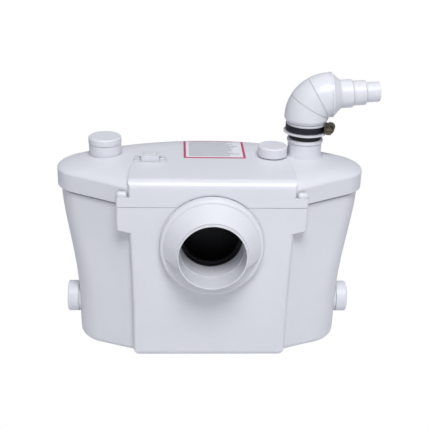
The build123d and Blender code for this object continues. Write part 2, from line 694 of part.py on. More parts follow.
def make_lid_seal():
    return seam_ring(UPSTAND_INSET, UPSTAND_INSET + UPSTAND_WALL, UPSTAND_TOP_Z, LID_SEAL_TOP_Z)


def slotted_screw(x, y, seat_z, shank, length, head, head_height, slot_width, slot_depth):
    top = seat_z + head_height
    screw = rod_z(shank, seat_z - length, seat_z + head_height / 2, x, y)
    cap = rod_z(head, seat_z, top, x, y)
    cap = fillet(cap.edges().sort_by(Axis.Z)[-1], head_height / 3)
    half = head + CUT
    slots = block(x - half, x + half, y - slot_width / 2, y + slot_width / 2, top - slot_depth, top + CUT)
    slots += block(x - slot_width / 2, x + slot_width / 2, y - half, y + half, top - slot_depth, top + CUT)
    return screw + (cap - slots)


def make_lid_screws():
    seat = LID_LOW_Z + LUG_LID_RISE + LID_BOSS_RISE
    return [slotted_screw(side * LID_SCREW_X, PANEL_FACE_Y + LID_SCREW_INSET, seat,
                          LID_SCREW_SHANK_RADIUS, LID_SCREW_LENGTH, LID_SCREW_HEAD_RADIUS,
                          LID_SCREW_HEAD_HEIGHT, LID_SCREW_SLOT_WIDTH, LID_SCREW_SLOT_DEPTH)
            for side in (-1, 1)]


def make_rating_label():
    patch = block(LABEL_LEFT_X, LABEL_RIGHT_X, LABEL_FRONT_Y, LABEL_BACK_Y, SHOULDER_Z,
                  SHOULDER_Z + DOME_RISE + CUT)
    covered = lid_dome(0, 0) & patch
    tops = [face for face in covered.faces() if face.normal_at().Z > LABEL_UP_SHARE]
    return Part() + [extrude(face, amount=LABEL_THICKNESS, dir=(0, 0, 1)) for face in tops]


# Cable clamp over its grommet

def make_cable_clamp():
    seat = SHOULDER_Z + CLAMP_PAD_RISE
    half = CLAMP_BOX_LENGTH / 2
    width = CLAMP_BOX_WIDTH / 2
    top = seat + CLAMP_BOX_HEIGHT
    reach = half + CLAMP_TAB_LENGTH
    box = block(CLAMP_BOX_X - half, CLAMP_BOX_X + half, CLAMP_BOX_Y - width, CLAMP_BOX_Y + width, seat, top)
    box = fillet(box.edges().filter_by(Axis.Z), CLAMP_BOX_WALL)
    tabs = block(CLAMP_BOX_X - reach, CLAMP_BOX_X + reach, CLAMP_BOX_Y - CLAMP_TAB_ROUND - SMALL_ROUND,
                 CLAMP_BOX_Y + CLAMP_TAB_ROUND + SMALL_ROUND, seat, seat + CLAMP_TAB_HEIGHT)
    tabs = fillet(tabs.edges().filter_by(Axis.Z), CLAMP_TAB_ROUND)
    recess = block(CLAMP_BOX_X - half + CLAMP_BOX_WALL, CLAMP_BOX_X + half - CLAMP_BOX_WALL,
                   CLAMP_BOX_Y - width + CLAMP_BOX_WALL, CLAMP_BOX_Y + width - CLAMP_BOX_WALL,
                   top - CLAMP_BOX_RECESS, top + CUT)
    body = box + tabs - recess
    body -= rod_z(GROMMET_RADIUS + SEAT_GAP, seat - CUT, seat + CLAMP_BOX_HEIGHT / 2,
                  CLAMP_BOX_X, CLAMP_BOX_Y)
    body -= rod_y(CORD_HOLE_RADIUS, CLAMP_BOX_Y, CLAMP_BOX_Y + width + CUT, CLAMP_BOX_X, seat)
    for side in (-1, 1):
        body -= rod_z(CORD_SCREW_RADIUS + SEAT_GAP, seat - CUT, seat + CLAMP_TAB_HEIGHT + CUT,
                      CLAMP_BOX_X + side * CLAMP_SCREW_OFFSET, CLAMP_BOX_Y)
    return body


def make_cable_clamp_screws():
    seat = SHOULDER_Z + CLAMP_PAD_RISE + CLAMP_TAB_HEIGHT
    return [slotted_screw(CLAMP_BOX_X + side * CLAMP_SCREW_OFFSET, CLAMP_BOX_Y, seat,
                          CORD_SCREW_RADIUS, CORD_SCREW_LENGTH, CORD_SCREW_HEAD_RADIUS,
                          CORD_SCREW_HEAD_HEIGHT, CORD_SCREW_SLOT_WIDTH, CORD_SCREW_SLOT_DEPTH)
            for side in (-1, 1)]


def make_cable_grommet():
    top = SHOULDER_Z + CLAMP_PAD_RISE + CLAMP_BOX_HEIGHT / 2 - SEAT_GAP
    low = SHOULDER_Z - LID_WALL
    return ring_z(GROMMET_RADIUS, CORD_HOLE_RADIUS, low, top, CLAMP_BOX_X, CLAMP_BOX_Y)


# Soil inlet

def outward(shape):
    plane = Plane(origin=(0, PANEL_FACE_Y, INLET_Z), x_dir=(1, 0, 0), z_dir=(0, -1, 0))
    return plane * shape


def make_inlet_collar():
    root = rod_z(INLET_ROOT_RADIUS, 0, INLET_ROOT_RISE)
    root = fillet(root.edges().sort_by(Axis.Z)[-1], INLET_ROOT_ROUND)
    spigot = rod_z(INLET_SPIGOT_RADIUS, -SMALL_ROUND, INLET_SPIGOT_LENGTH)
    spigot = fillet(spigot.edges().sort_by(Axis.Z)[-1], RIM_ROUND)
    sleeve = rod_z(INLET_SLEEVE_RADIUS, -INLET_SLEEVE_LENGTH, SMALL_ROUND)
    rim = INLET_SPIGOT_LENGTH - HOOD_RIM_SETBACK
    low = INLET_ROOT_RISE - SMALL_ROUND
    hood = spun(((0, low), (HOOD_ROOT_RADIUS, low), (HOOD_RIM_RADIUS, rim), (0, rim)), 0, 0)
    pocket = spun(((0, INLET_ROOT_RISE), (HOOD_ROOT_RADIUS - HOOD_WALL, INLET_ROOT_RISE),
                   (HOOD_RIM_RADIUS - HOOD_WALL, rim - HOOD_WALL), (0, rim - HOOD_WALL)), 0, 0)
    reach = INLET_ROOT_RADIUS
    hood = (hood - pocket) & block(-reach, reach, -HOOD_DROP, reach, low, rim)
    body = root + spigot + sleeve + hood
    body -= rod_z(INLET_BORE_RADIUS, INLET_SPIGOT_LENGTH - INLET_BORE_LENGTH, INLET_SPIGOT_LENGTH + CUT)
    body -= rod_z(INLET_THROAT_RADIUS, -INLET_SLEEVE_LENGTH - CUT, INLET_SPIGOT_LENGTH)
    return outward(body)


def make_inlet_seal():
    back = -INLET_SLEEVE_LENGTH - INLET_SEAL_LENGTH
    ring = ring_z(INLET_SLEEVE_RADIUS, INLET_SEAL_RADIUS, back, -INLET_SLEEVE_LENGTH)
    lip = ring_z(INLET_SEAL_RADIUS + SMALL_ROUND, INLET_SEAL_LIP_RADIUS, back, back + INLET_SEAL_LIP)
    return outward(ring + lip)


def arch_block(half_width, y0, y1, low):
    return rod_y(half_width, y0, y1, 0, INLET_Z) + block(-half_width, half_width, y0, y1, low, INLET_Z)


def chute_front_y():
    return PANEL_FACE_Y + INLET_SLEEVE_LENGTH + INLET_SEAL_LENGTH


def make_chute_face():
    front = chute_front_y()
    face = arch_block(CHUTE_HALF_WIDTH, front, front + CHUTE_WALL, BASKET_TOP_Z)
    return face - rod_y(CHUTE_MOUTH_RADIUS, front - CUT, front + CHUTE_WALL + CUT, 0, INLET_Z)


def make_inlet_chute():
    start = chute_front_y() + CHUTE_WALL
    back = chute_front_y() + CHUTE_DEPTH
    shell = arch_block(CHUTE_HALF_WIDTH, start, back, BASKET_TOP_Z)
    hollow = arch_block(CHUTE_HALF_WIDTH - CHUTE_WALL, start - CUT, back - CHUTE_WALL, BASKET_TOP_Z - CUT)
    return shell - hollow


# Grinder basket

def basket_form(inset, low, high):
    body = block(BASKET_LEFT_X + inset, BASKET_RIGHT_X - inset, BASKET_FRONT_Y + inset,
                 BASKET_BACK_Y - inset, low, high)
    return fillet(body.edges().filter_by(Axis.Z), BASKET_CORNER_ROUND - inset)


def make_grinder_basket():
    floor = TANK_WALL
    body = basket_form(0, floor, BASKET_TOP_Z)
    body -= basket_form(BASKET_WALL, floor + BASKET_WALL, BASKET_TOP_Z + CUT)
    centre_x = (BASKET_LEFT_X + BASKET_RIGHT_X) / 2
    centre_y = (BASKET_FRONT_Y + BASKET_BACK_Y) / 2
    holes = []
    for row in range(BASKET_HOLE_ROWS):
        z = floor + BASKET_HOLE_PITCH * (row + 1)
        for column in range(BASKET_HOLE_COLUMNS):
            x = centre_x + BASKET_HOLE_PITCH * (column - (BASKET_HOLE_COLUMNS - 1) / 2)
            holes.append(rod_y(BASKET_HOLE_RADIUS, BASKET_FRONT_Y - CUT, BASKET_BACK_Y + CUT, x, z))
        for column in range(BASKET_HOLE_COLUMNS - 2):
            y = centre_y + BASKET_HOLE_PITCH * (column - (BASKET_HOLE_COLUMNS - 3) / 2)
            holes.append(rod_x(BASKET_HOLE_RADIUS, BASKET_LEFT_X - CUT, BASKET_RIGHT_X + CUT, y, z))
    return body - holes


# Pump below the motor

def motor_ears(low, high):
    ears = []
    for angle in EAR_ANGLES:
        x, y = polar(EAR_CENTRE_RADIUS, angle, MOTOR_X, MOTOR_Y)
        ears.append(rod_z(EAR_RADIUS, low, high, x, y))
    return ears


def ear_holes(low, high):
    holes = []
    for angle in EAR_ANGLES:
        x, y = polar(EAR_CENTRE_RADIUS, angle, MOTOR_X, MOTOR_Y)
        holes.append(rod_z(MOTOR_SCREW_RADIUS + SEAT_GAP, low, high, x, y))
    return holes


def stack_rod(radius, low, high):
    return rod_z(radius, low, high, MOTOR_X, MOTOR_Y)


def stack_ring(outer, inner, low, high):
    return ring_z(outer, inner, low, high, MOTOR_X, MOTOR_Y)


def make_pump_volute():
    body = stack_rod(VOLUTE_RADIUS, VOLUTE_LOW_Z, VOLUTE_TOP_Z)
    body += motor_ears(VOLUTE_LOW_Z, VOLUTE_TOP_Z)
    body += rod_x(VOLUTE_SPOUT_RADIUS, MOTOR_X, VOLUTE_SPOUT_END_X, PIPE_Y, PIPE_Z)
    body -= stack_rod(VOLUTE_CAVITY_RADIUS, VOLUTE_LOW_Z + VOLUTE_PLATE, VOLUTE_TOP_Z - VOLUTE_TOP_PLATE)
    body -= stack_rod(VOLUTE_EYE_RADIUS, VOLUTE_LOW_Z - CUT, VOLUTE_LOW_Z + VOLUTE_PLATE + CUT)
    body -= stack_rod(SHAFT_SEAL_RADIUS + SEAT_GAP, VOLUTE_TOP_Z - VOLUTE_TOP_PLATE - CUT,
                      VOLUTE_TOP_Z + CUT)
    body -= rod_x(PIPE_BORE_RADIUS, MOTOR_X, VOLUTE_SPOUT_END_X + CUT, PIPE_Y, PIPE_Z)
    body -= rod_x(PIPE_RADIUS + SEAT_GAP, VOLUTE_SPOUT_END_X - VOLUTE_SPOUT_RADIUS,
                  VOLUTE_SPOUT_END_X + CUT, PIPE_Y, PIPE_Z)
    return body - ear_holes(VOLUTE_TOP_Z - MOTOR_SCREW_LENGTH, VOLUTE_TOP_Z + CUT)


def make_cutter_grid():
    low = VOLUTE_LOW_Z - GRID_HEIGHT
    body = stack_ring(GRID_RADIUS, GRID_RADIUS - GRID_WALL, low, VOLUTE_LOW_Z)
    body += stack_ring(GRID_FLANGE_RADIUS, GRID_RADIUS - GRID_WALL, VOLUTE_LOW_Z - GRID_FLANGE_HEIGHT,
                       VOLUTE_LOW_Z)
    slot_top = VOLUTE_LOW_Z - GRID_SLOT_DROP + GRID_SLOT_HEIGHT - GRID_FLANGE_HEIGHT
    slot_low = VOLUTE_LOW_Z - GRID_SLOT_DROP - GRID_FLANGE_HEIGHT
    slot = block(0, GRID_FLANGE_RADIUS, -GRID_SLOT_WIDTH / 2, GRID_SLOT_WIDTH / 2, slot_low, slot_top)
    slots = [Pos(MOTOR_X, MOTOR_Y, 0) * Rot(0, 0, 360 * step / GRID_SLOTS) * slot
             for step in range(GRID_SLOTS)]
    return body - slots


def make_impeller():
    low = VOLUTE_LOW_Z + VOLUTE_PLATE + IMPELLER_MARGIN
    blade_top = low + IMPELLER_BLADE_HEIGHT
    body = stack_rod(IMPELLER_RADIUS, blade_top, blade_top + IMPELLER_PLATE)
    body += stack_rod(IMPELLER_HUB_RADIUS, low, blade_top)
    blade = block(0, IMPELLER_RADIUS, -IMPELLER_BLADE_WIDTH / 2, IMPELLER_BLADE_WIDTH / 2, low, blade_top)
    body += [Pos(MOTOR_X, MOTOR_Y, 0) * Rot(0, 0, 360 * step / IMPELLER_BLADES) * blade
             for step in range(IMPELLER_BLADES)]
    return body - stack_rod(SHAFT_RADIUS, low - CUT, blade_top + IMPELLER_PLATE + CUT)


def make_cutter_disc():
    top = VOLUTE_LOW_Z - CUTTER_DROP + CUTTER_PLATE
    low = VOLUTE_LOW_Z - CUTTER_DROP
    body = stack_rod(CUTTER_RADIUS, low, top)
    blade = block(SHAFT_RADIUS + SMALL_ROUND, CUTTER_RADIUS, -CUTTER_BLADE_WIDTH / 2,
                  CUTTER_BLADE_WIDTH / 2, low, top + CUTTER_BLADE_HEIGHT)
    body += [Pos(MOTOR_X, MOTOR_Y, 0) * Rot(0, 0, 360 * step / CUTTER_BLADES) * blade
             for step in range(CUTTER_BLADES)]
    body &= stack_rod(CUTTER_RADIUS, low, top + CUTTER_BLADE_HEIGHT)
    return body - stack_rod(SHAFT_RADIUS, low - CUT, top + CUTTER_BLADE_HEIGHT + CUT)


def make_cutter_nut():
    top = VOLUTE_LOW_Z - CUTTER_DROP
    hexagon = RegularPolygon(NUT_WIDTH / 2, 6, major_radius=False)
    nut = Pos(MOTOR_X, MOTOR_Y, top - NUT_HEIGHT) * extrude(hexagon, amount=NUT_HEIGHT)
    return nut - stack_rod(SHAFT_RADIUS, top - NUT_HEIGHT - CUT, top + CUT)


# Motor

def make_motor_shaft():
    low = VOLUTE_LOW_Z - SHAFT_TIP_DROP
    shaft = stack_rod(SHAFT_RADIUS, low, SHAFT_TOP_Z)
    return chamfer(shaft.edges().filter_by(GeomType.CIRCLE), SMALL_ROUND / 2)


def make_motor_flange():
    body = stack_rod(CAN_RADIUS, VOLUTE_TOP_Z, FLANGE_TOP_Z)
    body += motor_ears(VOLUTE_TOP_Z, FLANGE_TOP_Z - FLANGE_HEIGHT / 2)
    body -= stack_rod(BEARING_RADIUS, FLANGE_TOP_Z - BEARING_HEIGHT, FLANGE_TOP_Z + CUT)
    body -= stack_rod(SHAFT_SEAL_RADIUS - SMALL_ROUND, VOLUTE_TOP_Z - CUT, FLANGE_TOP_Z)
    return body - ear_holes(VOLUTE_TOP_Z - CUT, FLANGE_TOP_Z + CUT)


def make_shaft_seal():
    return stack_ring(SHAFT_SEAL_RADIUS, SHAFT_RADIUS + RUNNING_GAP, VOLUTE_TOP_Z - SHAFT_SEAL_HEIGHT,
                      VOLUTE_TOP_Z)


def make_motor_screws():
    seat = FLANGE_TOP_Z - FLANGE_HEIGHT / 2
    screws = []
    for angle in EAR_ANGLES:
        x, y = polar(EAR_CENTRE_RADIUS, angle, MOTOR_X, MOTOR_Y)
        screws.append(slotted_screw(x, y, seat, MOTOR_SCREW_RADIUS, MOTOR_SCREW_LENGTH,
                                    MOTOR_SCREW_HEAD_RADIUS, MOTOR_SCREW_HEAD_HEIGHT,
                                    MOTOR_SCREW_SOCKET_WIDTH, MOTOR_SCREW_SOCKET_WIDTH))
    return screws


def make_bearing(low):
    body = stack_ring(BEARING_RADIUS, SHAFT_RADIUS + RUNNING_GAP, low, low + BEARING_HEIGHT)
    groove_depth = SMALL_ROUND / 2
    groove = stack_ring(BEARING_RADIUS - SMALL_ROUND - groove_depth, BEARING_RADIUS - BEARING_WALL,
                        low + BEARING_HEIGHT - groove_depth, low + BEARING_HEIGHT + CUT)
    return body - groove


def make_motor_can():
    return stack_ring(CAN_RADIUS, CAN_RADIUS - CAN_WALL, FLANGE_TOP_Z, CAN_TOP_Z)


def make_motor_top_cover():
    body = stack_rod(CAN_RADIUS, CAN_TOP_Z, COVER_TOP_Z)
    body = fillet(body.edges().sort_by(Axis.Z)[-1], CAN_COVER_ROUND)
    hollow = stack_ring(CAN_RADIUS - CAN_COVER_WALL, BEARING_RADIUS + BEARING_WALL, CAN_TOP_Z - CUT,
                        COVER_TOP_Z - CAN_COVER_WALL)
    body -= hollow
    body -= stack_rod(BEARING_RADIUS, CAN_TOP_Z - CUT, CAN_TOP_Z + BEARING_HEIGHT)
    return body - stack_rod(BEARING_RADIUS - BEARING_WALL, CAN_TOP_Z - CUT, COVER_TOP_Z - CAN_COVER_WALL)


def make_stator_core():
    body = stack_ring(CAN_RADIUS - CAN_WALL, STATOR_BORE_RADIUS, STATOR_LOW_Z, STATOR_TOP_Z)
    slot = block(0, STATOR_BORE_RADIUS + STATOR_SLOT_DEPTH, -STATOR_SLOT_WIDTH / 2,
                 STATOR_SLOT_WIDTH / 2, STATOR_LOW_Z - CUT, STATOR_TOP_Z + CUT)
    return body - [Pos(MOTOR_X, MOTOR_Y, 0) * Rot(0, 0, 360 * step / STATOR_SLOTS) * slot
                   for step in range(STATOR_SLOTS)]


def make_stator_windings():
    windings = []
    for low in (STATOR_LOW_Z - WINDING_HEIGHT, STATOR_TOP_Z):
        ring = stack_ring(WINDING_OUTER_RADIUS, WINDING_INNER_RADIUS, low, low + WINDING_HEIGHT)
        outer_edges = ring.edges().filter_by(GeomType.CIRCLE).group_by(SortBy.RADIUS)[-1]
        windings.append(fillet(outer_edges, SMALL_ROUND * 2))
    return windings


def make_rotor_core():
    return stack_ring(STATOR_BORE_RADIUS - ROTOR_GAP, SHAFT_RADIUS, STATOR_LOW_Z, STATOR_TOP_Z)


# Capacitor beside the motor

def make_capacitor():
    top = CAPACITOR_BASE_Z + CAPACITOR_HEIGHT
    body = rod_z(CAPACITOR_RADIUS, CAPACITOR_BASE_Z, top, CAPACITOR_X, CAPACITOR_Y)
    body = fillet(body.edges().filter_by(GeomType.CIRCLE), SMALL_ROUND)
    body += rod_z(CAPACITOR_RADIUS / 2, top - SMALL_ROUND, top + CAPACITOR_CAP_HEIGHT,
                  CAPACITOR_X, CAPACITOR_Y)
    for side in (-1, 1):
        x = CAPACITOR_X + side * CAPACITOR_RADIUS / 4
        body += block(x - CAPACITOR_TAG_THICKNESS / 2, x + CAPACITOR_TAG_THICKNESS / 2,
                      CAPACITOR_Y - CAPACITOR_TAG_WIDTH / 2, CAPACITOR_Y + CAPACITOR_TAG_WIDTH / 2,
                      top, top + CAPACITOR_CAP_HEIGHT + CAPACITOR_TAG_HEIGHT)
    return body


def make_capacitor_clip():
    low = CAPACITOR_BASE_Z + CLIP_RISE
    high = low + CLIP_HEIGHT
    ring = rod_z(CAPACITOR_RADIUS + SEAT_GAP + CLIP_WALL, low, high, CAPACITOR_X, CAPACITOR_Y)
    arm = block(MOTOR_X, CAPACITOR_X, CAPACITOR_Y - CLIP_ARM_WIDTH / 2, CAPACITOR_Y + CLIP_ARM_WIDTH / 2,
                low, high)
    saddle_half = CLIP_ARM_WIDTH
    saddle = block(MOTOR_X, MOTOR_X + CAN_RADIUS + CLIP_WALL, CAPACITOR_Y - saddle_half,
                   CAPACITOR_Y + saddle_half, low, high)
    saddle &= stack_rod(CAN_RADIUS + CLIP_WALL, low, high)
    body = ring + arm + saddle
    body -= rod_z(CAPACITOR_RADIUS + SEAT_GAP, low - CUT, high + CUT, CAPACITOR_X, CAPACITOR_Y)
    return body - stack_rod(CAN_RADIUS, low - CUT, high + CUT)


# Discharge pipe and the bush round its top

def make_discharge_pipe():
    start_x = VOLUTE_SPOUT_END_X - VOLUTE_SPOUT_RADIUS + SEAT_GAP
    corners = (
        (start_x, PIPE_Y, PIPE_Z), (PIPE_TURN_X, PIPE_Y, PIPE_Z),
        (OUTLET_X, OUTLET_Y, PIPE_Z), (OUTLET_X, OUTLET_Y, PIPE_TOP_Z))
    path = FilletPolyline(*corners, radius=(PIPE_PLAN_BEND, PIPE_RISE_BEND))
    plane = Plane(origin=corners[0], z_dir=(1, 0, 0))
    outer = sweep(plane * Circle(PIPE_RADIUS), path=path)
    bore = sweep(plane * Circle(PIPE_BORE_RADIUS), path=path)
    return outer - bore


def make_pipe_bush():
    return ring_z(SLEEVE_RADIUS, PIPE_RADIUS + BUSH_BORE_GAP, BUSH_LOW_Z, SLEEVE_LOW_Z - SMALL_ROUND,
                  OUTLET_X, OUTLET_Y)


def make_neck_sleeve():
    return ring_z(SLEEVE_RADIUS, SLEEVE_BORE_RADIUS, SLEEVE_LOW_Z, SLEEVE_TOP_Z, OUTLET_X, OUTLET_Y)


# Check valve inside the neck sleeve

def check_pin_place():
    seat_top = SLEEVE_LOW_Z + VALVE_SEAT_HEIGHT
    return OUTLET_X - CHECK_PIN_OFFSET, seat_top + CHECK_KNUCKLE_RADIUS + SEAT_GAP


def make_check_valve_seat():
    x, z = check_pin_place()
    seat_top = SLEEVE_LOW_Z + VALVE_SEAT_HEIGHT
    body = ring_z(SLEEVE_BORE_RADIUS - SEAT_GAP, VALVE_SEAT_BORE_RADIUS, SLEEVE_LOW_Z, seat_top,
                  OUTLET_X, OUTLET_Y)
    for side in (-1, 1):
        inner = OUTLET_Y + side * (CHECK_PIN_HALF_LENGTH - CHECK_EAR_WIDTH)
        outer = OUTLET_Y + side * CHECK_PIN_HALF_LENGTH
        ear = block(x - CHECK_KNUCKLE_RADIUS, x + CHECK_KNUCKLE_RADIUS, inner, outer, seat_top - SMALL_ROUND,
                    z + CHECK_KNUCKLE_RADIUS)
        body += ear & rod_z(SLEEVE_BORE_RADIUS - SEAT_GAP, SLEEVE_LOW_Z, SLEEVE_TOP_Z, OUTLET_X, OUTLET_Y)
    return body - rod_y(CHECK_PIN_RADIUS, OUTLET_Y - SLEEVE_RADIUS, OUTLET_Y + SLEEVE_RADIUS, x, z)


def make_check_flap_pin():
    x, z = check_pin_place()
    half = CHECK_PIN_HALF_LENGTH
    return rod_y(CHECK_PIN_RADIUS, OUTLET_Y - half, OUTLET_Y + half, x, z)


def make_check_flap():
    x, z = check_pin_place()
    low = SLEEVE_LOW_Z + VALVE_SEAT_HEIGHT + SEAT_GAP
    half = CHECK_PIN_HALF_LENGTH - CHECK_EAR_WIDTH - SEAT_GAP
    body = rod_z(CHECK_FLAP_RADIUS, low, low + CHECK_FLAP_THICKNESS, OUTLET_X, OUTLET_Y)
    ear_reach = math.hypot(CHECK_KNUCKLE_RADIUS, CHECK_KNUCKLE_RADIUS) + SEAT_GAP
    for side in (-1, 1):
        body -= block(x - ear_reach, x + ear_reach, OUTLET_Y + side * half,
                      OUTLET_Y + side * CHECK_FLAP_RADIUS, low - CUT, low + CHECK_FLAP_THICKNESS + CUT)
    body += block(x, x + CHECK_KNUCKLE_RADIUS * 2, OUTLET_Y - half, OUTLET_Y + half, low,
                  low + CHECK_FLAP_THICKNESS)
    body += rod_y(CHECK_KNUCKLE_RADIUS, OUTLET_Y - half, OUTLET_Y + half, x, z)
    return body - rod_y(CHECK_PIN_RADIUS + RUNNING_GAP, OUTLET_Y - SLEEVE_RADIUS,
                        OUTLET_Y + SLEEVE_RADIUS, x, z)


# Elbow

def bent(shape, angle):
    return shape.rotate(PIVOT_AXIS, angle)


def wedge(start, end):
    section = Pos(OUTLET_X, OUTLET_Y, ELBOW_ROOT_Z) * (Circle(ELBOW_RADIUS) - Circle(ELBOW_BORE_RADIUS))
    return bent(revolve(section, PIVOT_AXIS, revolution_arc=end - start), start)


def elbow_disc(radius, low, high, angle):
    return bent(rod_z(radius, ELBOW_ROOT_Z + low, ELBOW_ROOT_Z + high, OUTLET_X, OUTLET_Y), angle)


def elbow_spigot(angle):
    tube = ring_z(ELBOW_SPIGOT_RADIUS, ELBOW_BORE_RADIUS, ELBOW_ROOT_Z, ELBOW_ROOT_Z + ELBOW_SPIGOT_HEIGHT,
                  OUTLET_X, OUTLET_Y)
    return bent(tube, angle)


def open_start(shape, angle):
    gap_disc = elbow_disc(ELBOW_RADIUS + CUT, -CUT, ELBOW_JOINT_GAP, angle)
    register = elbow_disc(ELBOW_SPIGOT_RADIUS + SEAT_GAP, -CUT,
                          ELBOW_SPIGOT_HEIGHT + ELBOW_JOINT_GAP, angle)
    return shape - gap_disc - register


def make_elbow_lower():
    lip_top = SOCKET_LOW_Z + SOCKET_LIP_HEIGHT
    shoulder_z = ELBOW_ROOT_Z - SOCKET_SHOULDER
    bore = SLEEVE_RADIUS + SOCKET_BORE_CLEARANCE
    groove_z = shoulder_z - SOCKET_GROOVE_WIDTH
    bore_top = SLEEVE_TOP_Z + SOCKET_BORE_TOP_GAP
    points = (
        (bore, SOCKET_LOW_Z), (SOCKET_LIP_RADIUS - SMALL_ROUND, SOCKET_LOW_Z),
        (SOCKET_LIP_RADIUS, SOCKET_LOW_Z + SMALL_ROUND), (SOCKET_LIP_RADIUS, lip_top - SMALL_ROUND),
        (SOCKET_RADIUS, lip_top), (SOCKET_RADIUS, groove_z - SOCKET_GROOVE_WIDTH),
        (SOCKET_RADIUS - SOCKET_GROOVE_DEPTH, groove_z - SOCKET_GROOVE_WIDTH),
        (SOCKET_RADIUS - SOCKET_GROOVE_DEPTH, groove_z), (SOCKET_RADIUS + SOCKET_GROOVE_DEPTH, groove_z),
        (ELBOW_RADIUS, ELBOW_ROOT_Z - SMALL_ROUND), (ELBOW_RADIUS, ELBOW_ROOT_Z),
        (ELBOW_BORE_RADIUS, ELBOW_ROOT_Z), (bore, bore_top))
    return spun(points, OUTLET_X, OUTLET_Y) + wedge(0, FIRST_ANGLE) + elbow_spigot(FIRST_ANGLE)


def make_elbow_middle():
    body = open_start(wedge(FIRST_ANGLE, SECOND_ANGLE), FIRST_ANGLE)
    return body + elbow_spigot(SECOND_ANGLE)


def make_elbow_upper():
    body = open_start(wedge(SECOND_ANGLE, ELBOW_BEND), SECOND_ANGLE)
    end = ring_z(ELBOW_RADIUS, ELBOW_BORE_RADIUS, ELBOW_ROOT_Z, ELBOW_ROOT_Z + ELBOW_END_RING,
                 OUTLET_X, OUTLET_Y)
    return body + bent(end, ELBOW_BEND)


def make_step_reducer():
    start = ELBOW_ROOT_Z + ELBOW_END_RING
    cone_start = start + REDUCER_RING_LENGTH
    cone_end = cone_start + REDUCER_CONE_LENGTH
    outer = [
        (REDUCER_RING_RADIUS, start), (REDUCER_RING_RADIUS, cone_start - SMALL_ROUND / 2),
        (REDUCER_RING_RADIUS - SMALL_ROUND, cone_start), (REDUCER_CONE_END_RADIUS, cone_end)]
    inner = [(ELBOW_BORE_RADIUS, start), (ELBOW_BORE_RADIUS, cone_start - SMALL_ROUND)]
    z = cone_end
    for radius, length in zip(REDUCER_RADII, REDUCER_LENGTHS):
        outer.append((radius, z + REDUCER_RAMP))
        inner.append((radius - REDUCER_WALL, z))
        z += length
        outer.append((radius, z - REDUCER_RAMP / 2))
        outer.append((radius - REDUCER_RAMP / 2, z))
        inner.append((radius - REDUCER_WALL, z - REDUCER_RAMP))
    inner[-1] = (REDUCER_RADII[-1] - REDUCER_WALL, z)
    return bent(spun(outer + inner[::-1], OUTLET_X, OUTLET_Y), ELBOW_BEND)


# Worm-drive clamp

def clamp_turned(shape):
    return shape.rotate(Axis((OUTLET_X, OUTLET_Y, 0), (0, 0, 1)), CLAMP_TURN)


def clamp_screw_place():
    x = OUTLET_X + SOCKET_RADIUS + BAND_THICKNESS + HOUSING_RADIUS - BAND_THICKNESS
    return x, BAND_LOW_Z + BAND_WIDTH / 2


def make_clamp_band():
    outer = SOCKET_RADIUS + BAND_THICKNESS
    high = BAND_LOW_Z + BAND_WIDTH
    body = ring_z(outer, SOCKET_RADIUS, BAND_LOW_Z, high, OUTLET_X, OUTLET_Y)
    middle = (BAND_LOW_Z + high) / 2
    slot = block(SOCKET_RADIUS - CUT, outer + CUT, -BAND_SLOT_WIDTH / 2, BAND_SLOT_WIDTH / 2,
                 middle - BAND_SLOT_HEIGHT / 2, middle + BAND_SLOT_HEIGHT / 2)
    slots = []
    for step in range(BAND_SLOTS):
        angle = BAND_SLOT_STEP * (step + 3)
        slots.append(Pos(OUTLET_X, OUTLET_Y, 0) * Rot(0, 0, -angle) * slot)
    body -= slots
    x, z = clamp_screw_place()
    half = HOUSING_LENGTH / 2
    cover = rod_y(HOUSING_RADIUS, OUTLET_Y - half, OUTLET_Y + half, x, z)
    cover += block(OUTLET_X + SOCKET_RADIUS - SMALL_ROUND, x, OUTLET_Y - half, OUTLET_Y + half,
                   z - HOUSING_BASE_WIDTH / 2, z + HOUSING_BASE_WIDTH / 2)
    cover -= rod_z(SOCKET_RADIUS, BAND_LOW_Z - BAND_WIDTH, high + BAND_WIDTH, OUTLET_X, OUTLET_Y)
    cover -= rod_y(CLAMP_SCREW_RADIUS + SEAT_GAP, OUTLET_Y - half - CUT, OUTLET_Y + half + CUT, x, z)
    return clamp_turned(body + cover)


def make_clamp_screw():
    x, z = clamp_screw_place()
    half = HOUSING_LENGTH / 2 + CLAMP_SCREW_OVERHANG
    body = rod_y(CLAMP_SCREW_RADIUS, OUTLET_Y - half, OUTLET_Y + half, x, z)
    turns = int(2 * half / CLAMP_THREAD_PITCH)
    groove = rod_y(CLAMP_SCREW_RADIUS + CUT, 0, CLAMP_THREAD_PITCH / 2, x, z)
    groove -= rod_y(CLAMP_SCREW_RADIUS - CLAMP_THREAD_DEPTH, -CUT, CLAMP_THREAD_PITCH / 2 + CUT, x, z)
    body -= [Pos(0, OUTLET_Y - half + CLAMP_THREAD_PITCH * (turn + 0.5), 0) * groove
             for turn in range(turns)]
    head_start = OUTLET_Y - half
    plane = Plane(origin=(x, head_start, z), x_dir=(1, 0, 0), z_dir=(0, -1, 0))
    hexagon = plane * RegularPolygon(CLAMP_HEAD_WIDTH / 2, 6, major_radius=False)
    body += extrude(hexagon, amount=CLAMP_HEAD_LENGTH)
    slot = block(x - CLAMP_HEAD_WIDTH, x + CLAMP_HEAD_WIDTH, head_start - CLAMP_HEAD_LENGTH - CUT,
                 head_start - CLAMP_HEAD_LENGTH + CLAMP_HEAD_SLOT_DEPTH,
                 z - CLAMP_HEAD_SLOT_WIDTH / 2, z + CLAMP_HEAD_SLOT_WIDTH / 2)
    return clamp_turned(body - slot)


# Caps on the lid

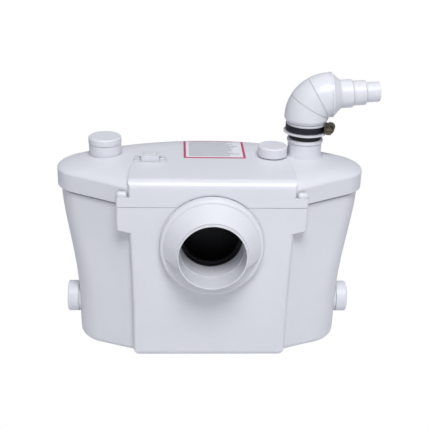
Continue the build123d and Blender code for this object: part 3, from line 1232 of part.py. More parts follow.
def make_top_inlet_cap():
    low = TOP_INLET_STUB_Z + SEAT_GAP
    cap = rod_z(TOP_INLET_CAP_RADIUS, low, TOP_INLET_CAP_Z, TOP_INLET_X, TOP_INLET_Y)
    cap = chamfer(cap.edges().sort_by(Axis.Z)[-1], TOP_INLET_BEVEL)
    plug = TOP_INLET_BORE_RADIUS - SEAT_GAP
    cap += rod_z(plug, TOP_INLET_STUB_Z - TOP_INLET_PLUG_DEPTH, low + SMALL_ROUND, TOP_INLET_X, TOP_INLET_Y)
    return cap - rod_z(plug - TOP_INLET_CAP_WALL, TOP_INLET_STUB_Z - TOP_INLET_PLUG_DEPTH - CUT,
                       TOP_INLET_CAP_Z - TOP_INLET_CAP_WALL, TOP_INLET_X, TOP_INLET_Y)


def make_vent_cap():
    cap = rod_z(VENT_CAP_RADIUS, VENT_CAP_LOW_Z, VENT_CAP_TOP_Z, VENT_X, VENT_Y)
    cap = chamfer(cap.edges().sort_by(Axis.Z)[-1], VENT_CAP_BEVEL)
    return cap - rod_z(VENT_STUB_RADIUS + SEAT_GAP, VENT_CAP_LOW_Z - CUT, VENT_CAP_TOP_Z - VENT_CAP_WALL,
                       VENT_X, VENT_Y)


def make_carbon_filter():
    radius = VENT_STUB_RADIUS - VENT_STUB_WALL - SEAT_GAP
    low = VENT_STUB_TOP_Z - VENT_FILTER_HEIGHT - SMALL_ROUND
    return rod_z(radius, low, low + VENT_FILTER_HEIGHT, VENT_X, VENT_Y)


# Side inlets

def make_side_cap(side):
    low_x = SIDE_COLLAR_END_X + SEAT_GAP
    cap = rod_x(SIDE_CAP_RADIUS, side * low_x, side * SIDE_CAP_END_X, SIDE_INLET_Y, SIDE_INLET_Z)
    rims = cap.edges().filter_by(GeomType.CIRCLE).sort_by(Axis.X)
    cap = fillet(rims[-1] if side > 0 else rims[0], SIDE_CAP_ROUND)
    return cap - rod_x(SIDE_STUB_RADIUS + SEAT_GAP, side * (low_x - CUT),
                       side * (SIDE_CAP_END_X - SIDE_CAP_WALL), SIDE_INLET_Y, SIDE_INLET_Z)


def side_hinge_place(side):
    flange_face = SIDE_STUB_ROOT_X - SIDE_SEAT_FLANGE
    x = side * (flange_face - SEAT_GAP - SIDE_FLAP_THICKNESS / 2)
    return x, SIDE_INLET_Z + SIDE_HINGE_RISE


def make_side_valve_seat(side):
    flange_face = SIDE_STUB_ROOT_X - SIDE_SEAT_FLANGE
    tube_end = flange_face + SIDE_SEAT_LENGTH
    x, z = side_hinge_place(side)
    body = rod_x(SIDE_BORE_RADIUS - SEAT_GAP, side * flange_face, side * tube_end,
                 SIDE_INLET_Y, SIDE_INLET_Z)
    body += rod_x(SIDE_SEAT_FLANGE_RADIUS, side * flange_face, side * SIDE_STUB_ROOT_X,
                  SIDE_INLET_Y, SIDE_INLET_Z)
    for hand in (-1, 1):
        inner = SIDE_INLET_Y + hand * (SIDE_TRUNNION_HALF_LENGTH - SIDE_EAR_WIDTH)
        outer = SIDE_INLET_Y + hand * SIDE_TRUNNION_HALF_LENGTH
        body += block(side * SIDE_STUB_ROOT_X, side * (flange_face - SIDE_EAR_REACH), inner, outer,
                      z - SIDE_TRUNNION_RADIUS * 2 - SMALL_ROUND, z + SIDE_TRUNNION_RADIUS * 2)
    body -= rod_x(SIDE_SEAT_BORE_RADIUS, side * (flange_face - CUT), side * (tube_end + CUT),
                  SIDE_INLET_Y, SIDE_INLET_Z)
    reach = SIDE_TRUNNION_HALF_LENGTH + CUT
    return body - rod_y(SIDE_TRUNNION_RADIUS + RUNNING_GAP, SIDE_INLET_Y - reach, SIDE_INLET_Y + reach, x, z)


def make_side_flap(side):
    x, z = side_hinge_place(side)
    half = SIDE_FLAP_THICKNESS / 2
    body = rod_x(SIDE_FLAP_RADIUS, x - half, x + half, SIDE_INLET_Y, SIDE_INLET_Z)
    neck = SIDE_FLAP_NECK / 2
    body += block(x - half, x + half, SIDE_INLET_Y - neck, SIDE_INLET_Y + neck, SIDE_INLET_Z, z)
    reach = SIDE_TRUNNION_HALF_LENGTH
    return body + rod_y(SIDE_TRUNNION_RADIUS, SIDE_INLET_Y - reach, SIDE_INLET_Y + reach, x, z)


# Pressure switch

def switch_rod(radius, low, high):
    return rod_z(radius, low, high, SWITCH_X, SWITCH_Y)


def switch_ring(outer, inner, low, high):
    return ring_z(outer, inner, low, high, SWITCH_X, SWITCH_Y)


def make_dip_tube():
    low = TANK_WALL
    body = switch_ring(DIP_TUBE_RADIUS, DIP_TUBE_RADIUS - DIP_TUBE_WALL, low, DIP_TUBE_TOP_Z)
    half = DIP_TUBE_RADIUS + CUT
    notch = DIP_TUBE_NOTCH / 2
    body -= block(SWITCH_X - half, SWITCH_X + half, SWITCH_Y - notch, SWITCH_Y + notch, low - CUT,
                  low + DIP_TUBE_NOTCH)
    return body - block(SWITCH_X - notch, SWITCH_X + notch, SWITCH_Y - half, SWITCH_Y + half, low - CUT,
                        low + DIP_TUBE_NOTCH)


def make_diaphragm_housing():
    top = DIP_TUBE_TOP_Z + HOUSING_BOWL_HEIGHT
    body = switch_rod(DIAPHRAGM_RADIUS, DIP_TUBE_TOP_Z, top)
    body -= switch_rod(DIAPHRAGM_RADIUS - HOUSING_BOWL_WALL, DIP_TUBE_TOP_Z + HOUSING_BOWL_WALL, top + CUT)
    return body - switch_rod(DIP_TUBE_RADIUS - DIP_TUBE_WALL, DIP_TUBE_TOP_Z - CUT, top)


def make_diaphragm():
    low = DIP_TUBE_TOP_Z + HOUSING_BOWL_HEIGHT
    return switch_rod(DIAPHRAGM_RADIUS, low, low + DIAPHRAGM_THICKNESS)


def make_diaphragm_cover():
    low = DIP_TUBE_TOP_Z + HOUSING_BOWL_HEIGHT + DIAPHRAGM_THICKNESS
    high = low + HOUSING_COVER_HEIGHT
    body = switch_rod(DIAPHRAGM_RADIUS, low, high)
    body -= switch_rod(DIAPHRAGM_RADIUS - HOUSING_BOWL_WALL, low - CUT, high - HOUSING_BOWL_WALL)
    return body - switch_rod(PLUNGER_RADIUS + SEAT_GAP, low, high + CUT)


def make_switch_plunger():
    low = DIP_TUBE_TOP_Z + HOUSING_BOWL_HEIGHT + DIAPHRAGM_THICKNESS
    body = switch_rod(PLUNGER_RADIUS, low, low + PLUNGER_RISE)
    return body + switch_rod(PLUNGER_PLATE_RADIUS, low, low + HOUSING_BOWL_WALL)


def make_microswitch():
    cover_top = DIP_TUBE_TOP_Z + HOUSING_BOWL_HEIGHT + DIAPHRAGM_THICKNESS + HOUSING_COVER_HEIGHT
    top = cover_top + SWITCH_HEIGHT
    half = SWITCH_LENGTH / 2
    width = SWITCH_WIDTH / 2
    body = block(SWITCH_X - half, SWITCH_X + half, SWITCH_Y - width, SWITCH_Y + width, cover_top, top)
    body = fillet(body.edges().filter_by(Axis.Z), SMALL_ROUND)
    pocket_top = cover_top + PLUNGER_RISE - HOUSING_COVER_HEIGHT + PLUNGER_TRAVEL + SEAT_GAP
    body -= switch_rod(PLUNGER_RADIUS + SEAT_GAP, cover_top - CUT, pocket_top)
    for step in (-1, 0, 1):
        x = SWITCH_X + step * half * 2 / 3
        body += block(x - SWITCH_TAG_THICKNESS / 2, x + SWITCH_TAG_THICKNESS / 2,
                      SWITCH_Y - SWITCH_TAG_WIDTH / 2, SWITCH_Y + SWITCH_TAG_WIDTH / 2,
                      top - SMALL_ROUND, top + SWITCH_TAG_HEIGHT)
    return body


# Every sub-part by its name

def make_parts():
    lower_bearing_z = FLANGE_TOP_Z - BEARING_HEIGHT
    tank_floor, tank_front_wall, tank_back_wall = tank_slices()
    return {
        "tank_floor": tank_floor,
        "tank_front_wall": tank_front_wall,
        "tank_back_wall": tank_back_wall,
        "inlet_collar": make_inlet_collar(),
        "inlet_seal": make_inlet_seal(),
        "chute_face": make_chute_face(),
        "inlet_chute": make_inlet_chute(),
        "lid_seal": make_lid_seal(),
        "left_valve_seat": make_side_valve_seat(-1),
        "right_valve_seat": make_side_valve_seat(1),
        "left_inlet_flap": make_side_flap(-1),
        "right_inlet_flap": make_side_flap(1),
        "left_side_cap": make_side_cap(-1),
        "right_side_cap": make_side_cap(1),
        "grinder_basket": make_grinder_basket(),
        "pump_volute": make_pump_volute(),
        "cutter_grid": make_cutter_grid(),
        "impeller": make_impeller(),
        "cutter_disc": make_cutter_disc(),
        "cutter_nut": make_cutter_nut(),
        "motor_shaft": make_motor_shaft(),
        "motor_flange": make_motor_flange(),
        "shaft_seal": make_shaft_seal(),
        "motor_screws": make_motor_screws(),
        "lower_bearing": make_bearing(lower_bearing_z),
        "upper_bearing": make_bearing(CAN_TOP_Z),
        "motor_can": make_motor_can(),
        "motor_top_cover": make_motor_top_cover(),
        "stator_core": make_stator_core(),
        "stator_windings": make_stator_windings(),
        "rotor_core": make_rotor_core(),
        "capacitor": make_capacitor(),
        "capacitor_clip": make_capacitor_clip(),
        "discharge_pipe": make_discharge_pipe(),
        "pipe_bush": make_pipe_bush(),
        "neck_sleeve": make_neck_sleeve(),
        "check_valve_seat": make_check_valve_seat(),
        "check_flap_pin": make_check_flap_pin(),
        "check_flap": make_check_flap(),
        "lid_cover": make_lid(),
        "lid_screws": make_lid_screws(),
        "rating_label": make_rating_label(),
        "cable_clamp": make_cable_clamp(),
        "cable_clamp_screws": make_cable_clamp_screws(),
        "cable_grommet": make_cable_grommet(),
        "top_inlet_cap": make_top_inlet_cap(),
        "vent_cap": make_vent_cap(),
        "carbon_filter": make_carbon_filter(),
        "elbow_lower": make_elbow_lower(),
        "elbow_middle": make_elbow_middle(),
        "elbow_upper": make_elbow_upper(),
        "step_reducer": make_step_reducer(),
        "clamp_band": make_clamp_band(),
        "clamp_screw": make_clamp_screw(),
        "dip_tube": make_dip_tube(),
        "diaphragm_housing": make_diaphragm_housing(),
        "diaphragm": make_diaphragm(),
        "diaphragm_cover": make_diaphragm_cover(),
        "switch_plunger": make_switch_plunger(),
        "microswitch": make_microswitch(),
    }


def solids_of(shape):
    if isinstance(shape, list):
        return [solid for item in shape for solid in item.solids()]
    return list(shape.solids())


os.makedirs("parts", exist_ok=True)
for name, shape in make_parts().items():
    solids = solids_of(shape)
    export_step(solids[0] if len(solids) == 1 else Compound(children=solids), "parts/" + name + ".step")
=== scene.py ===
import json
import math

import bmesh
import bpy
from mathutils import Matrix, Vector


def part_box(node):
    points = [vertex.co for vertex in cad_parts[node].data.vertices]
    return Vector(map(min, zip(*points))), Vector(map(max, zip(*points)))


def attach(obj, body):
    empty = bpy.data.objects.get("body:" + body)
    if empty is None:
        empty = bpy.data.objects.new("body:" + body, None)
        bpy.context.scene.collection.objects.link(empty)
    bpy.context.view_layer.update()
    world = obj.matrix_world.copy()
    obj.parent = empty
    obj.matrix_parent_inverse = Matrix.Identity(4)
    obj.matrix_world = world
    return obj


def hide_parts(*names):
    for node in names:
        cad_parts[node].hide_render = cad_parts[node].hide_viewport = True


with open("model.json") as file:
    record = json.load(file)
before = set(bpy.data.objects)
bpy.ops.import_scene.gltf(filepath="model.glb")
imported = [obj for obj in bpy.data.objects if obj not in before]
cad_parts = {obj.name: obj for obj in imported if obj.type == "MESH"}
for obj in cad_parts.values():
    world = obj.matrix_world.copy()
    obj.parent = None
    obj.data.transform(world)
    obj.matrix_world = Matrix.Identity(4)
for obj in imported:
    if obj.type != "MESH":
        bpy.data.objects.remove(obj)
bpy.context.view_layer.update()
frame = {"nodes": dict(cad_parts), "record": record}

# Macerator toilet pump: looks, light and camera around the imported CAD
# Lengths are in metres, and a name that ends in _MM holds millimetres

MM = 0.001

# Camera as fitted to the photo
LENS_MM = 71.0
SENSOR_MM = 36.0
CLIP_START = 0.05
EYE = (-38.2 * MM, -895.8 * MM, 537.3 * MM)
AZIMUTH = math.radians(2.83)
ELEVATION = math.radians(23.46)
ROLL = math.radians(1.48)

# Smoothing of the skins
WELD = 0.01 * MM
SMOOTH_ANGLE = math.radians(32)

# Screen colours in the renderer's linear values
CURVE_KNEE = 0.04045
CURVE_SLOPE = 12.92
CURVE_OFFSET = 0.055
CURVE_POWER = 2.4

# Sockets of the colour mix node
MIX_SHARE = 0
MIX_FIRST = 6
MIX_SECOND = 7
MIX_RESULT = 2

# Moulded pieces: slow change of tone, edges, and painted shade in their crevices
TONE_SIZE_MM = 55.0
MOULDED_EDGE_MM = 0.7
EDGE_SAMPLES = 6
CREVICE_REACH = 3.5 * MM
CREVICE_SAMPLES = 6
CREVICE_SHADE_COLOUR = "#555963"

# Worked metals: streaks, drawn out along X and Y
STREAK_STRETCH = (0.15, 0.15, 1.0)
STREAK_DETAIL = 3.0
STREAK_DEPTH_MM = 0.004
STREAK_ROUGHNESS_SPREAD = 0.25
METAL_EDGE_MM = 0.2

# Label: ruled lines on a pale field in a coloured frame
LABEL_PITCH = 3.4 * MM
LABEL_RULE_SHARE = 0.38
LABEL_ROOM_SHARE = 0.2
LABEL_BORDER = 2.7 * MM
LABEL_MARGIN = 6.0 * MM
LABEL_EDGE_MM = 0.2
LABEL_ROUGHNESS = 0.4
LABEL_FIELD_COLOUR = "#eceef3"
LABEL_RULE_COLOUR = "#838794"
LABEL_FRAME_COLOUR = "#c4486f"

# Painted shadow line on the tank's sloping sides, just under the lid's skirt
SKIRT_SHADOW_LOW_Z = 181.9 * MM
SKIRT_SHADOW_HIGH_Z = 183.1 * MM
SKIRT_SHADOW_FROM_X = 103.0 * MM
SKIRT_SHADOW_SHARE = 0.8
SKIRT_SHADOW_COLOUR = "#6a6f7a"

# Caps over the lid screws
SCREW_HEAD_RADIUS = 3.1 * MM
SCREW_CAP_SIZE = (11.0 * MM, 7.6 * MM, 6.5 * MM)
SCREW_CAP_ROUND = 2.4 * MM
SCREW_CAP_SEGMENTS = 5
SCREW_CAP_PROFILE = 0.5

# Hose clip, and the ring that closes it behind its slots
BAND_OUTER_RADIUS = 23.1 * MM
BACKING_INNER_RADIUS = 22.32 * MM
BACKING_OUTER_RADIUS = 22.62 * MM
BACKING_HALF_WIDTH = 3.1 * MM
BACKING_STEPS = 96

# Lower lip of the elbow's socket, as seen in the photo
LIP_CAD_TOP = 242.3 * MM
LIP_LOW = 240.8 * MM
LIP_TOP = 243.4 * MM

# Floor and sky, which the camera sees as plain white
FLOOR_HALF = 8.0
FLOOR_Z = -0.2 * MM
FLOOR_COLOUR = "#e8e8ea"
SKY_COLOUR = "#f4f6ff"
SKY_STRENGTH = 0.3
SEEN_COLOUR = "#ffffff"
SEEN_STRENGTH = 1.0

# Softboxes: name, place, width, height, watts and tint
LIGHT_TARGET = (0.0, 0.0, 0.13)
SOFTBOXES = (
    ("key", (0.1, -1.0, 1.56), 0.65, 0.65, 21.6, "#ffffff"),
    ("overhead", (0.1, 0.3, 1.6), 1.4, 1.0, 2.0, "#fbfcff"),
    ("side", (1.4, -1.0, 0.7), 0.8, 1.2, 0.8, "#fbfcff"))


# Colours and node trees

def colour(text):
    """A colour as it looks on screen, in the linear values that the renderer takes."""
    parts = [int(text[i:i + 2], 16) / 255 for i in (1, 3, 5)]
    return [c / CURVE_SLOPE if c <= CURVE_KNEE
            else ((c + CURVE_OFFSET) / (1 + CURVE_OFFSET)) ** CURVE_POWER for c in parts] + [1.0]


def add(tree, kind, inputs=None, **settings):
    """Adds a node; an input given as a socket is linked, and any other is a value."""
    node = tree.nodes.new(kind)
    for name, value in settings.items():
        setattr(node, name, value)
    for name, value in (inputs or {}).items():
        if isinstance(value, bpy.types.NodeSocket):
            tree.links.new(value, node.inputs[name])
        else:
            node.inputs[name].default_value = value
    return node


def maths(tree, operation, first, second=0.0):
    """The result of one sum on sockets or values."""
    return add(tree, "ShaderNodeMath", {0: first, 1: second}, operation=operation).outputs[0]


def blended(tree, share, first, second):
    """Two colours mixed, with the share of the second one."""
    inputs = {MIX_SHARE: share, MIX_FIRST: first, MIX_SECOND: second}
    return add(tree, "ShaderNodeMix", inputs, data_type="RGBA").outputs[MIX_RESULT]


def new_tree(name):
    """A material with an empty node tree."""
    material = bpy.data.materials.new(name)
    material.use_nodes = True
    material.node_tree.nodes.clear()
    return material, material.node_tree


def finish_surface(material, tree, base, roughness, normal, metallic=0.0):
    """Closes a material's tree with its shader."""
    shader = add(tree, "ShaderNodeBsdfPrincipled",
                 {"Base Color": base, "Roughness": roughness, "Metallic": metallic,
                  "Normal": normal})
    add(tree, "ShaderNodeOutputMaterial", {"Surface": shader.outputs[0]})
    return material


def object_point(tree):
    """The place on the piece, in metres."""
    return add(tree, "ShaderNodeTexCoord").outputs["Object"]


def noise(tree, point, size_mm, detail=2.0):
    """Noise whose features are about size_mm across."""
    return add(tree, "ShaderNodeTexNoise",
               {"Vector": point, "Scale": 1 / (size_mm * MM), "Detail": detail}).outputs["Fac"]


def rounded_normal(tree, edge_mm):
    """Edges that catch the light as if they had a small radius."""
    return add(tree, "ShaderNodeBevel", {"Radius": edge_mm * MM}, samples=EDGE_SAMPLES).outputs[0]


def grained(tree, point, size_mm, depth_mm, edge_mm):
    """A fine grain of the given size and depth over rounded edges."""
    height = noise(tree, point, size_mm)
    return add(tree, "ShaderNodeBump",
               {"Height": height, "Distance": depth_mm * MM, "Strength": 1.0,
                "Normal": rounded_normal(tree, edge_mm)}).outputs[0]


def under_lid(tree, point):
    """How near a place on the tank's sloping sides is to the painted shadow line below the lid's
    skirt.
    """
    parts = add(tree, "ShaderNodeSeparateXYZ", {"Vector": point}).outputs
    near = add(tree, "ShaderNodeMapRange",
               {"Value": parts[2], "From Min": SKIRT_SHADOW_LOW_Z,
                "From Max": SKIRT_SHADOW_HIGH_Z}).outputs["Result"]
    # The flat front panel has no such line, and the back has it all along
    off_panel = maths(tree, "GREATER_THAN", maths(tree, "ABSOLUTE", parts[0]), SKIRT_SHADOW_FROM_X)
    at_back = maths(tree, "GREATER_THAN", parts[1], 0.0)
    in_reach = maths(tree, "MAXIMUM", off_panel, at_back)
    return maths(tree, "MULTIPLY", maths(tree, "MULTIPLY", near, in_reach), SKIRT_SHADOW_SHARE)


def moulded(name, base, shade, roughness, grain_mm=0.9, depth_mm=0.006, crevice_shade=0.0, skirt_shadow=False):
    """A moulded plastic or rubber: even colour, fine grain, soft edges and painted shade in
    crevices.
    """
    material, tree = new_tree(name)
    point = object_point(tree)
    tone = blended(tree, noise(tree, point, TONE_SIZE_MM), colour(base), colour(shade))
    # Painted shade: darker where the surface is closed in by nearby geometry
    if crevice_shade:
        closed = add(tree, "ShaderNodeAmbientOcclusion", {"Distance": CREVICE_REACH},
                     samples=CREVICE_SAMPLES).outputs["AO"]
        painted_shade = maths(tree, "MULTIPLY", maths(tree, "SUBTRACT", 1.0, closed), crevice_shade)
        tone = blended(tree, painted_shade, tone, colour(CREVICE_SHADE_COLOUR))
    # Painted shadow of the lid's skirt on the tank's wall
    if skirt_shadow:
        tone = blended(tree, under_lid(tree, point), tone, colour(SKIRT_SHADOW_COLOUR))
    return finish_surface(material, tree, tone, roughness,
                          grained(tree, point, grain_mm, depth_mm, MOULDED_EDGE_MM))


def machined(name, base, shade, roughness, streak_mm=0.25):
    """A worked metal: fine streaks in its colour and roughness."""
    material, tree = new_tree(name)
    stretched = add(tree, "ShaderNodeMapping",
                    {"Vector": object_point(tree), "Scale": STREAK_STRETCH}).outputs[0]
    streak = noise(tree, stretched, streak_mm, STREAK_DETAIL)
    tone = blended(tree, streak, colour(base), colour(shade))
    rough = add(tree, "ShaderNodeMapRange",
                {"Value": streak, "To Min": roughness * (1 - STREAK_ROUGHNESS_SPREAD),
                 "To Max": roughness * (1 + STREAK_ROUGHNESS_SPREAD)}).outputs[0]
    return finish_surface(material, tree, tone, rough,
                          grained(tree, stretched, streak_mm, STREAK_DEPTH_MM, METAL_EDGE_MM),
                          metallic=1.0)


def label_film():
    """Printed polyester film: a coloured frame round a pale field with plain ruled lines."""
    material, tree = new_tree("printed_polyester_film")
    low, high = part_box("rating_label")
    parts = add(tree, "ShaderNodeSeparateXYZ", {"Vector": object_point(tree)}).outputs
    from_left = maths(tree, "SUBTRACT", parts[0], low.x)
    from_right = maths(tree, "SUBTRACT", high.x, parts[0])
    from_front = maths(tree, "SUBTRACT", parts[1], low.y)
    from_back = maths(tree, "SUBTRACT", high.y, parts[1])
    nearest = maths(tree, "MINIMUM", maths(tree, "MINIMUM", from_left, from_right),
                    maths(tree, "MINIMUM", from_front, from_back))
    in_field = maths(tree, "GREATER_THAN", nearest, LABEL_MARGIN)
    row = maths(tree, "DIVIDE", from_front, LABEL_PITCH)
    on_rule = maths(tree, "LESS_THAN", maths(tree, "FRACT", row), LABEL_RULE_SHARE)
    # Each row has its own length, so the lines read as a printed table
    row_seed = add(tree, "ShaderNodeTexWhiteNoise", {"W": maths(tree, "FLOOR", row)},
                   noise_dimensions="1D").outputs["Value"]
    room = maths(tree, "MULTIPLY", row_seed, (high.x - low.x) * LABEL_ROOM_SHARE)
    in_row = maths(tree, "GREATER_THAN", from_right, maths(tree, "ADD", room, LABEL_MARGIN))
    printed = maths(tree, "MULTIPLY", maths(tree, "MULTIPLY", in_field, on_rule), in_row)
    in_border = maths(tree, "LESS_THAN", nearest, LABEL_BORDER)
    tone = blended(tree, printed, colour(LABEL_FIELD_COLOUR), colour(LABEL_RULE_COLOUR))
    tone = blended(tree, in_border, tone, colour(LABEL_FRAME_COLOUR))
    return finish_surface(material, tree, tone, LABEL_ROUGHNESS,
                          rounded_normal(tree, LABEL_EDGE_MM))


# Materials: name, colour, its darker or lighter patches, roughness

# Satin polypropylene of the lid, caps and elbow, with painted shade in its crevices
WHITE = moulded("satin_white_polypropylene", "#e5e6ec", "#dee0e7", 0.36, crevice_shade=0.5)
# The same on the tank's wall, with painted shade in its crevices and a painted shadow line under
# the lid's skirt
TANK_WHITE = moulded("satin_white_tank_polypropylene", "#e5e6ec", "#dee0e7", 0.36, crevice_shade=0.5,
                     skirt_shadow=True)
# Nitrile rubber of the seals, sleeve, flaps and grommet
RUBBER = moulded("black_nitrile_rubber", "#141416", "#1b1b1e", 0.55)
# Glass-filled nylon of the pump and basket
NYLON = moulded("grey_glass_filled_nylon", "#6b6e74", "#5f6268", 0.5)
# Near black on the chute and its face, dark behind the spigot
CHUTE = moulded("near_black_chute", "#19191c", "#202024", 0.6)
# Thermoplastic case of the switch
SWITCH = moulded("black_thermoplastic", "#1c1d20", "#242528", 0.4)
# Polyester case of the capacitor
CAPACITOR = moulded("pale_polyester_case", "#d6d6d0", "#cbcbc4", 0.45)
# Carbon-loaded felt of the vent filter
FELT = moulded("carbon_felt", "#0f0f0f", "#1d1d1d", 0.95, grain_mm=0.5, depth_mm=0.15)
# Baked enamel on the motor can
ENAMEL = moulded("black_baked_enamel", "#1a1c20", "#202328", 0.3, grain_mm=1.6, depth_mm=0.01)
# Turned stainless steel of the shaft, cutter and screws
STAINLESS = machined("turned_stainless_steel", "#c9cbd0", "#a9acb3", 0.28)
# Rolled strip of the hose clip, and the lamination stacks
STRIP = machined("rolled_dark_steel_strip", "#24262b", "#4c4f57", 0.36, streak_mm=0.9)
# Zinc and chromate worm of the hose clip
WORM = machined("chromated_steel_worm", "#5e584a", "#8d8672", 0.38)
# Enamelled copper wire of the windings
COPPER = machined("enamelled_copper_wire", "#b4673a", "#8f4c27", 0.35, streak_mm=0.5)
# Printed polyester film of the label
LABEL = label_film()


# Which piece is on which body, and how it looks

RECORD = frame["record"]
BODY_OF = {node: body for body, members in RECORD["behaviour"]["bodies"].items()
           for node in members}
SLOT_OF = {part["node"]: part["material_slot"] for part in RECORD["subparts"]}
LOOK_OF_SLOT = {
    "white_shell": WHITE, "black_rubber": RUBBER, "grey_plastic": NYLON, "bright_steel": STAINLESS,
    "dark_steel": STRIP, "worm_steel": WORM, "can_paint": ENAMEL, "copper_wire": COPPER,
    "capacitor_case": CAPACITOR, "carbon_felt": FELT, "switch_case": SWITCH, "printed_label": LABEL}
LOOK_OF_NODE = {"inlet_chute": CHUTE, "chute_face": CHUTE, "cable_clamp_screws": WHITE}
TANK_WALLS = ("tank_front_wall", "tank_back_wall")
OWN_PIECE = TANK_WALLS + ("lid_screws", "clamp_band", "elbow_lower")


# Pieces

def put_in_scene(name, mesh, material, body):
    """An object of one material that rides on its body."""
    piece = bpy.data.objects.new(name, mesh)
    bpy.context.scene.collection.objects.link(piece)
    mesh.materials.clear()
    mesh.materials.append(material)
    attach(piece, body)
    return piece


def smooth_mesh(name, vertices, faces):
    """A mesh welded along its seams, smooth but for its sharp edges."""
    mesh = bpy.data.meshes.new(name)
    mesh.from_pydata(vertices, [], faces)
    shape = bmesh.new()
    shape.from_mesh(mesh)
    bmesh.ops.remove_doubles(shape, verts=shape.verts, dist=WELD)
    shape.to_mesh(mesh)
    shape.free()
    mesh.shade_smooth()
    mesh.set_sharp_from_angle(angle=SMOOTH_ANGLE)
    return mesh


def softened(node, material):
    """A skin that stands for a CAD node, with even normals over its facets."""
    source = frame["nodes"][node]
    vertices = [v.co.copy() for v in source.data.vertices]
    faces = [tuple(p.vertices) for p in source.data.polygons]
    mesh = smooth_mesh(node + "_skin", vertices, faces)
    piece = put_in_scene(node + "_skin", mesh, material, BODY_OF[node])
    weighted = piece.modifiers.new("weighted", "WEIGHTED_NORMAL")
    weighted.keep_sharp = True
    weighted.mode = "FACE_AREA_WITH_ANGLE"
    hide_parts(node)
    return piece


def plain_skins():
    """A skin for each node but those that have a piece of their own; the label stays as it is."""
    for node, piece in frame["nodes"].items():
        look = LOOK_OF_NODE.get(node, LOOK_OF_SLOT[SLOT_OF[node]])
        if SLOT_OF[node] == "printed_label":
            piece.data.materials.clear()
            piece.data.materials.append(look)
        elif node not in OWN_PIECE:
            softened(node, look)


def tank_skin():
    """The tank's moulded wall as one skin, without the cut faces where its CAD nodes meet."""
    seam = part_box(TANK_WALLS[1])[0]
    vertices, faces = [], []
    for node in TANK_WALLS:
        data = frame["nodes"][node].data
        start = len(vertices)
        vertices += [v.co.copy() for v in data.vertices]
        for polygon in data.polygons:
            places = [data.vertices[i].co for i in polygon.vertices]
            on_seam = all(abs(place.y - seam.y) < WELD for place in places)
            on_floor = all(abs(place.z - seam.z) < WELD for place in places)
            if not on_seam and not on_floor:
                faces.append(tuple(start + i for i in polygon.vertices))
    mesh = smooth_mesh("tank_skin", vertices, faces)
    piece = put_in_scene("tank_skin", mesh, TANK_WHITE, BODY_OF[TANK_WALLS[0]])
    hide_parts(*TANK_WALLS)


def clamp_skin():
    """The hose clip: a dark strip and a chromated housing for its worm."""
    piece = softened("clamp_band", STRIP)
    piece.data.materials.append(WORM)
    low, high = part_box("neck_sleeve")
    axis = Vector(((low.x + high.x) / 2, (low.y + high.y) / 2))
    for polygon in piece.data.polygons:
        if (polygon.center.xy - axis).length > BAND_OUTER_RADIUS:
            polygon.material_index = 1


def socket_skin():
    """The lower elbow, whose socket lip is drawn thinner and higher, as in the photo."""
    piece = softened("elbow_lower", WHITE)
    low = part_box("elbow_lower")[0].z
    for vertex in piece.data.vertices:
        if vertex.co.z < LIP_CAD_TOP:
            share = (vertex.co.z - low) / (LIP_CAD_TOP - low)
            vertex.co.z = LIP_LOW + (LIP_TOP - LIP_LOW) * share


def screw_caps():
    """White moulded caps over the two lid screws."""
    low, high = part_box("lid_screws")
    shape = bmesh.new()
    for x in (low.x + SCREW_HEAD_RADIUS, high.x - SCREW_HEAD_RADIUS):
        middle = Vector((x, (low.y + high.y) / 2, high.z - SCREW_CAP_SIZE[2] / 2))
        cube = bmesh.ops.create_cube(shape, size=1.0)["verts"]
        bmesh.ops.scale(shape, vec=SCREW_CAP_SIZE, verts=cube)
        bmesh.ops.translate(shape, vec=middle, verts=cube)
    bmesh.ops.bevel(shape, geom=shape.edges[:], offset=SCREW_CAP_ROUND, segments=SCREW_CAP_SEGMENTS,
                    profile=SCREW_CAP_PROFILE, affect="EDGES", clamp_overlap=True)
    mesh = bpy.data.meshes.new("lid_screw_caps")
    shape.to_mesh(mesh)
    shape.free()
    mesh.shade_smooth()
    piece = put_in_scene("lid_screw_caps", mesh, WHITE, BODY_OF["lid_screws"])
    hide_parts("lid_screws")


def band_backing():
    """The strip's inner lap, which closes the slots of the hose clip's band from behind."""
    low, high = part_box("neck_sleeve")
    band_low, band_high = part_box("clamp_band")
    axis_x = (low.x + high.x) / 2
    axis_y = (low.y + high.y) / 2
    middle_z = (band_low.z + band_high.z) / 2
    half = BACKING_HALF_WIDTH
    section = ((BACKING_INNER_RADIUS, -half), (BACKING_OUTER_RADIUS, -half),
               (BACKING_OUTER_RADIUS, half), (BACKING_INNER_RADIUS, half))
    corners = len(section)
    vertices, faces = [], []
    for step in range(BACKING_STEPS):
        turn = 2 * math.pi * step / BACKING_STEPS
        for radius, z in section:
            vertices.append((axis_x + radius * math.cos(turn), axis_y + radius * math.sin(turn),
                             middle_z + z))
        start = corners * step
        after = corners * ((step + 1) % BACKING_STEPS)
        for side in range(corners):
            other = (side + 1) % corners
            faces.append((start + side, after + side, after + other, start + other))
    mesh = smooth_mesh("band_backing", vertices, faces)
    put_in_scene("band_backing", mesh, STRIP, BODY_OF["clamp_band"])


# Floor, light and camera

def white_to_camera(tree, lit, white_kind, output_kind):
    """Closes a tree so that light meets the lit look and the camera sees plain white."""
    white = add(tree, white_kind, {"Color": colour(SEEN_COLOUR), "Strength": SEEN_STRENGTH})
    seen = add(tree, "ShaderNodeLightPath").outputs["Is Camera Ray"]
    mixed = add(tree, "ShaderNodeMixShader", {0: seen, 1: lit.outputs[0], 2: white.outputs[0]})
    add(tree, output_kind, {"Surface": mixed.outputs[0]})


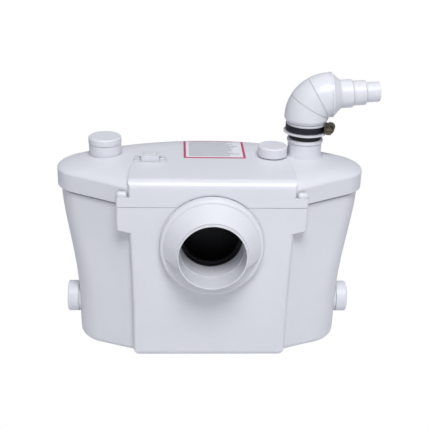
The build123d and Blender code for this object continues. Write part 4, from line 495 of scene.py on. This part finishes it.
def backdrop():
    """A pale floor that bounces light up."""
    # Matt studio floor paint
    material, tree = new_tree("studio_floor_paint")
    paint = add(tree, "ShaderNodeBsdfDiffuse", {"Color": colour(FLOOR_COLOUR)})
    white_to_camera(tree, paint, "ShaderNodeEmission", "ShaderNodeOutputMaterial")
    mesh = bpy.data.meshes.new("floor")
    half = FLOOR_HALF
    mesh.from_pydata([(-half, -half, FLOOR_Z), (half, -half, FLOOR_Z), (half, half, FLOOR_Z),
                      (-half, half, FLOOR_Z)], [], [(0, 1, 2, 3)])
    mesh.materials.append(material)
    floor = bpy.data.objects.new("floor", mesh)
    bpy.context.scene.collection.objects.link(floor)


def sky():
    """A dim, slightly blue light from all round."""
    world = bpy.data.worlds.new("studio")
    bpy.context.scene.world = world
    world.use_nodes = True
    tree = world.node_tree
    tree.nodes.clear()
    soft = add(tree, "ShaderNodeBackground",
               {"Color": colour(SKY_COLOUR), "Strength": SKY_STRENGTH})
    white_to_camera(tree, soft, "ShaderNodeBackground", "ShaderNodeOutputWorld")


def softbox(name, place, width, height, power, tint):
    """A rectangular lamp that faces the part."""
    light = bpy.data.lights.new(name, "AREA")
    light.shape = "RECTANGLE"
    light.size = width
    light.size_y = height
    light.energy = power
    light.color = colour(tint)[:3]
    lamp = bpy.data.objects.new(name, light)
    lamp.location = place
    aim = Vector(LIGHT_TARGET) - Vector(place)
    lamp.rotation_euler = aim.to_track_quat("-Z", "Y").to_euler()
    bpy.context.scene.collection.objects.link(lamp)


def camera():
    """The photo's camera, a little rolled."""
    data = bpy.data.cameras.new("camera")
    data.lens = LENS_MM
    data.sensor_width = SENSOR_MM
    data.clip_start = CLIP_START
    eye = bpy.data.objects.new("camera", data)
    forward = Vector((math.sin(AZIMUTH) * math.cos(ELEVATION),
                      math.cos(AZIMUTH) * math.cos(ELEVATION), -math.sin(ELEVATION)))
    level = Vector((math.cos(AZIMUTH), -math.sin(AZIMUTH), 0))
    upright = level.cross(forward)
    right = level * math.cos(ROLL) + upright * math.sin(ROLL)
    up = upright * math.cos(ROLL) - level * math.sin(ROLL)
    turn = Matrix((right, up, -forward)).transposed().to_4x4()
    eye.matrix_world = Matrix.Translation(EYE) @ turn
    bpy.context.scene.collection.objects.link(eye)
    bpy.context.scene.camera = eye


plain_skins()
tank_skin()
clamp_skin()
socket_skin()
screw_caps()
band_backing()

backdrop()
sky()
for box in SOFTBOXES:
    softbox(*box)
camera()
bpy.context.scene.view_settings.view_transform = "Standard"
